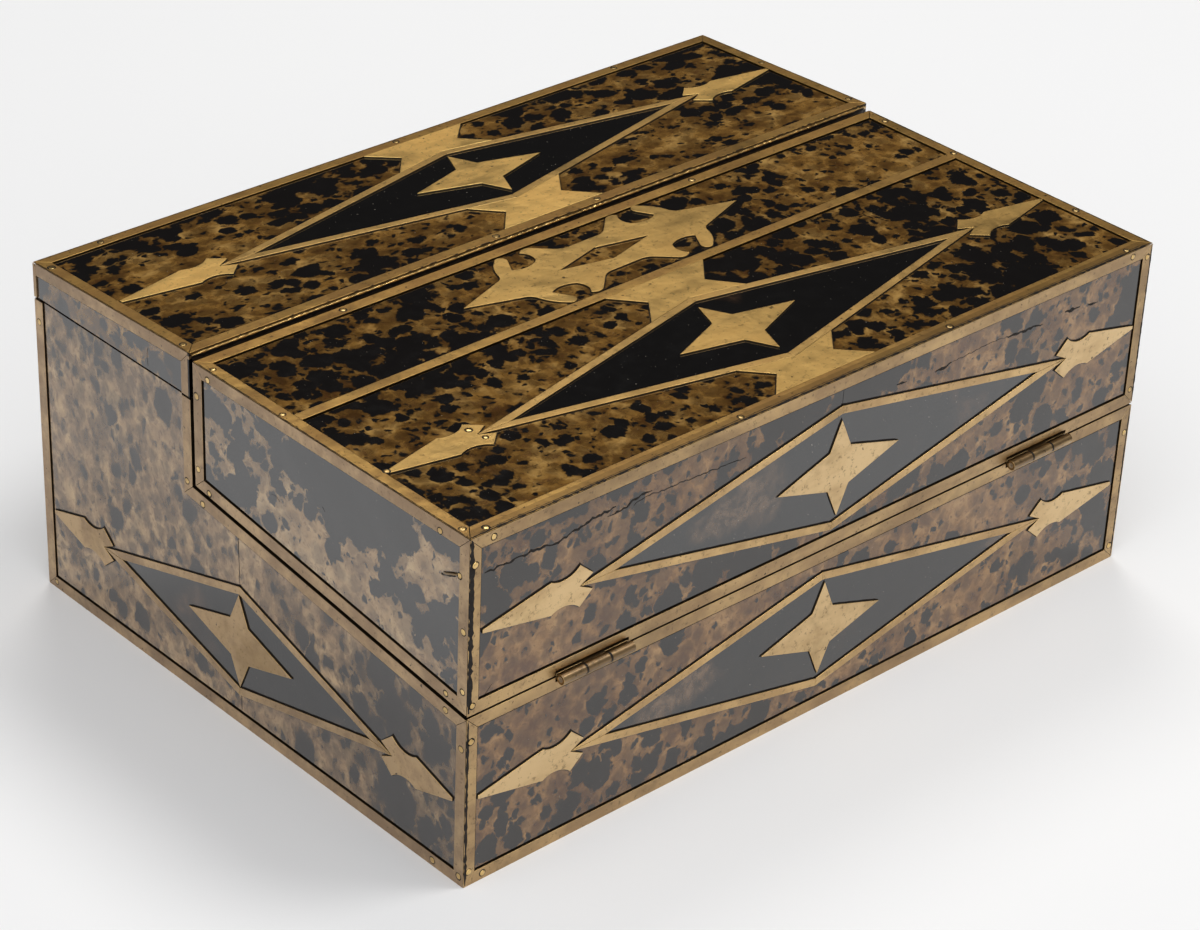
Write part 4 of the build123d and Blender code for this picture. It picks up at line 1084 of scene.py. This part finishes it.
def screws(name, body, hinges, side):
    """Three slotted countersunk screws in each hinge leaf, level with its face."""
    mesh = bmesh.new()
    for hinge in hinges:
        for x in SCREW_PLACES:
            turned = Matrix.Rotation(rng.uniform(0, pi), 4, "Z")
            spot = hinge @ Matrix.Translation((x, SCREW_OUT, side * SCREW_SHIFT)) @ turned
            for half in (-1, 1):
                rim = []
                for i in range(SCREW_STEPS + 1):
                    a = radians(-SCREW_ARC + 2 * SCREW_ARC * i / SCREW_STEPS) + (0 if half > 0 else pi)
                    rim.append((SCREW_RADIUS * cos(a), SCREW_RADIUS * sin(a)))
                near = [mesh.verts.new(spot @ Vector((u, v, -side * SCREW_PROUD))) for u, v in rim]
                far = [mesh.verts.new(spot @ Vector((u, v, side * SCREW_DEPTH))) for u, v in rim]
                mesh.faces.new(near)
                mesh.faces.new(far[::-1])
                for i in range(len(rim)):
                    j = (i + 1) % len(rim)
                    mesh.faces.new((near[i], near[j], far[j], far[i]))
    new_piece(name, mesh, body, nail_brass, smooth=False)


# Gaps between the knuckles: places along the pin, radius and breadth
KNUCKLE_ENDS = (-0.005717, 0.005717)
GAP_RADIUS = 0.00203
GAP_BREADTH = 0.0009


def knuckle_gaps(name, body, hinges):
    """Dark discs in the gaps between the three knuckles of each hinge."""
    mesh = bmesh.new()
    for hinge in hinges:
        for place in KNUCKLE_ENDS:
            start = Matrix.Translation((place - GAP_BREADTH / 2, 0, 0))
            spot = hinge @ start @ Matrix.Rotation(pi / 2, 4, "Y")
            lathe(mesh, spot, [(0, 0), (GAP_RADIUS, 0), (GAP_RADIUS, GAP_BREADTH), (0, GAP_BREADTH)], 64)
    new_piece(name, mesh, body, mastic.material, smooth=False)


leaf_slope = (0, cos(SLOPE), sin(SLOPE))
front_hinges = [frame_of((e * HINGE_X, -HINGE_Y, HINGE_Z), (1, 0, 0), leaf_slope) for e in SIDES]
rear_hinges = [frame_of((e * HINGE_X, HINGE_Y, REAR_JOINT), (-1, 0, 0), (0, -1, 0)) for e in SIDES]
screws("base_hinge_screws", "base", front_hinges + rear_hinges, -1)
screws("lid_hinge_screws", "front_lid", front_hinges, 1)
screws("rear_lid_hinge_screws", "rear_lid", rear_hinges, 1)
knuckle_gaps("front_hinge_gaps", "base", front_hinges)
knuckle_gaps("rear_hinge_gaps", "base", rear_hinges)

# Ink in the two bottles: place on the right and profile from the floor of the well up
INK_PLACE = (0.1437, 0.0967, 0.0782)
INK_PROFILE = [(0, 0), (0.0126, 0), (0.0129, 0.0003), (0.0129, 0.0112), (0.0122, 0.0106), (0, 0.0104)]
for side, hand in zip(SIDES, ("left", "right")):
    liquid = bmesh.new()
    x, y, z = INK_PLACE
    lathe(liquid, Matrix.Translation((side * x, y, z)), INK_PROFILE, 40)
    new_piece(hand + "_ink", liquid, "base", ink.material)

# Floor

FLOOR_CORNERS = ((-9, -9), (9, -9), (9, 9), (-9, 9))
floor_finish = Finish("floor")
tone = floor_finish.noise(floor_finish.place, 1.2, 2)
floor_colour = floor_finish.mix(tone, (0.825, 0.83, 0.845), (0.855, 0.86, 0.87))
floor_finish.set(Base_Color=floor_colour, Roughness=0.75)
floor_mesh = bmesh.new()
floor_mesh.faces.new([floor_mesh.verts.new((x, y, 0)) for x, y in FLOOR_CORNERS])
floor_data = bpy.data.meshes.new("floor")
floor_mesh.to_mesh(floor_data)
floor_mesh.free()
floor_data.materials.append(floor_finish.material)
floor = add_object("floor", floor_data)
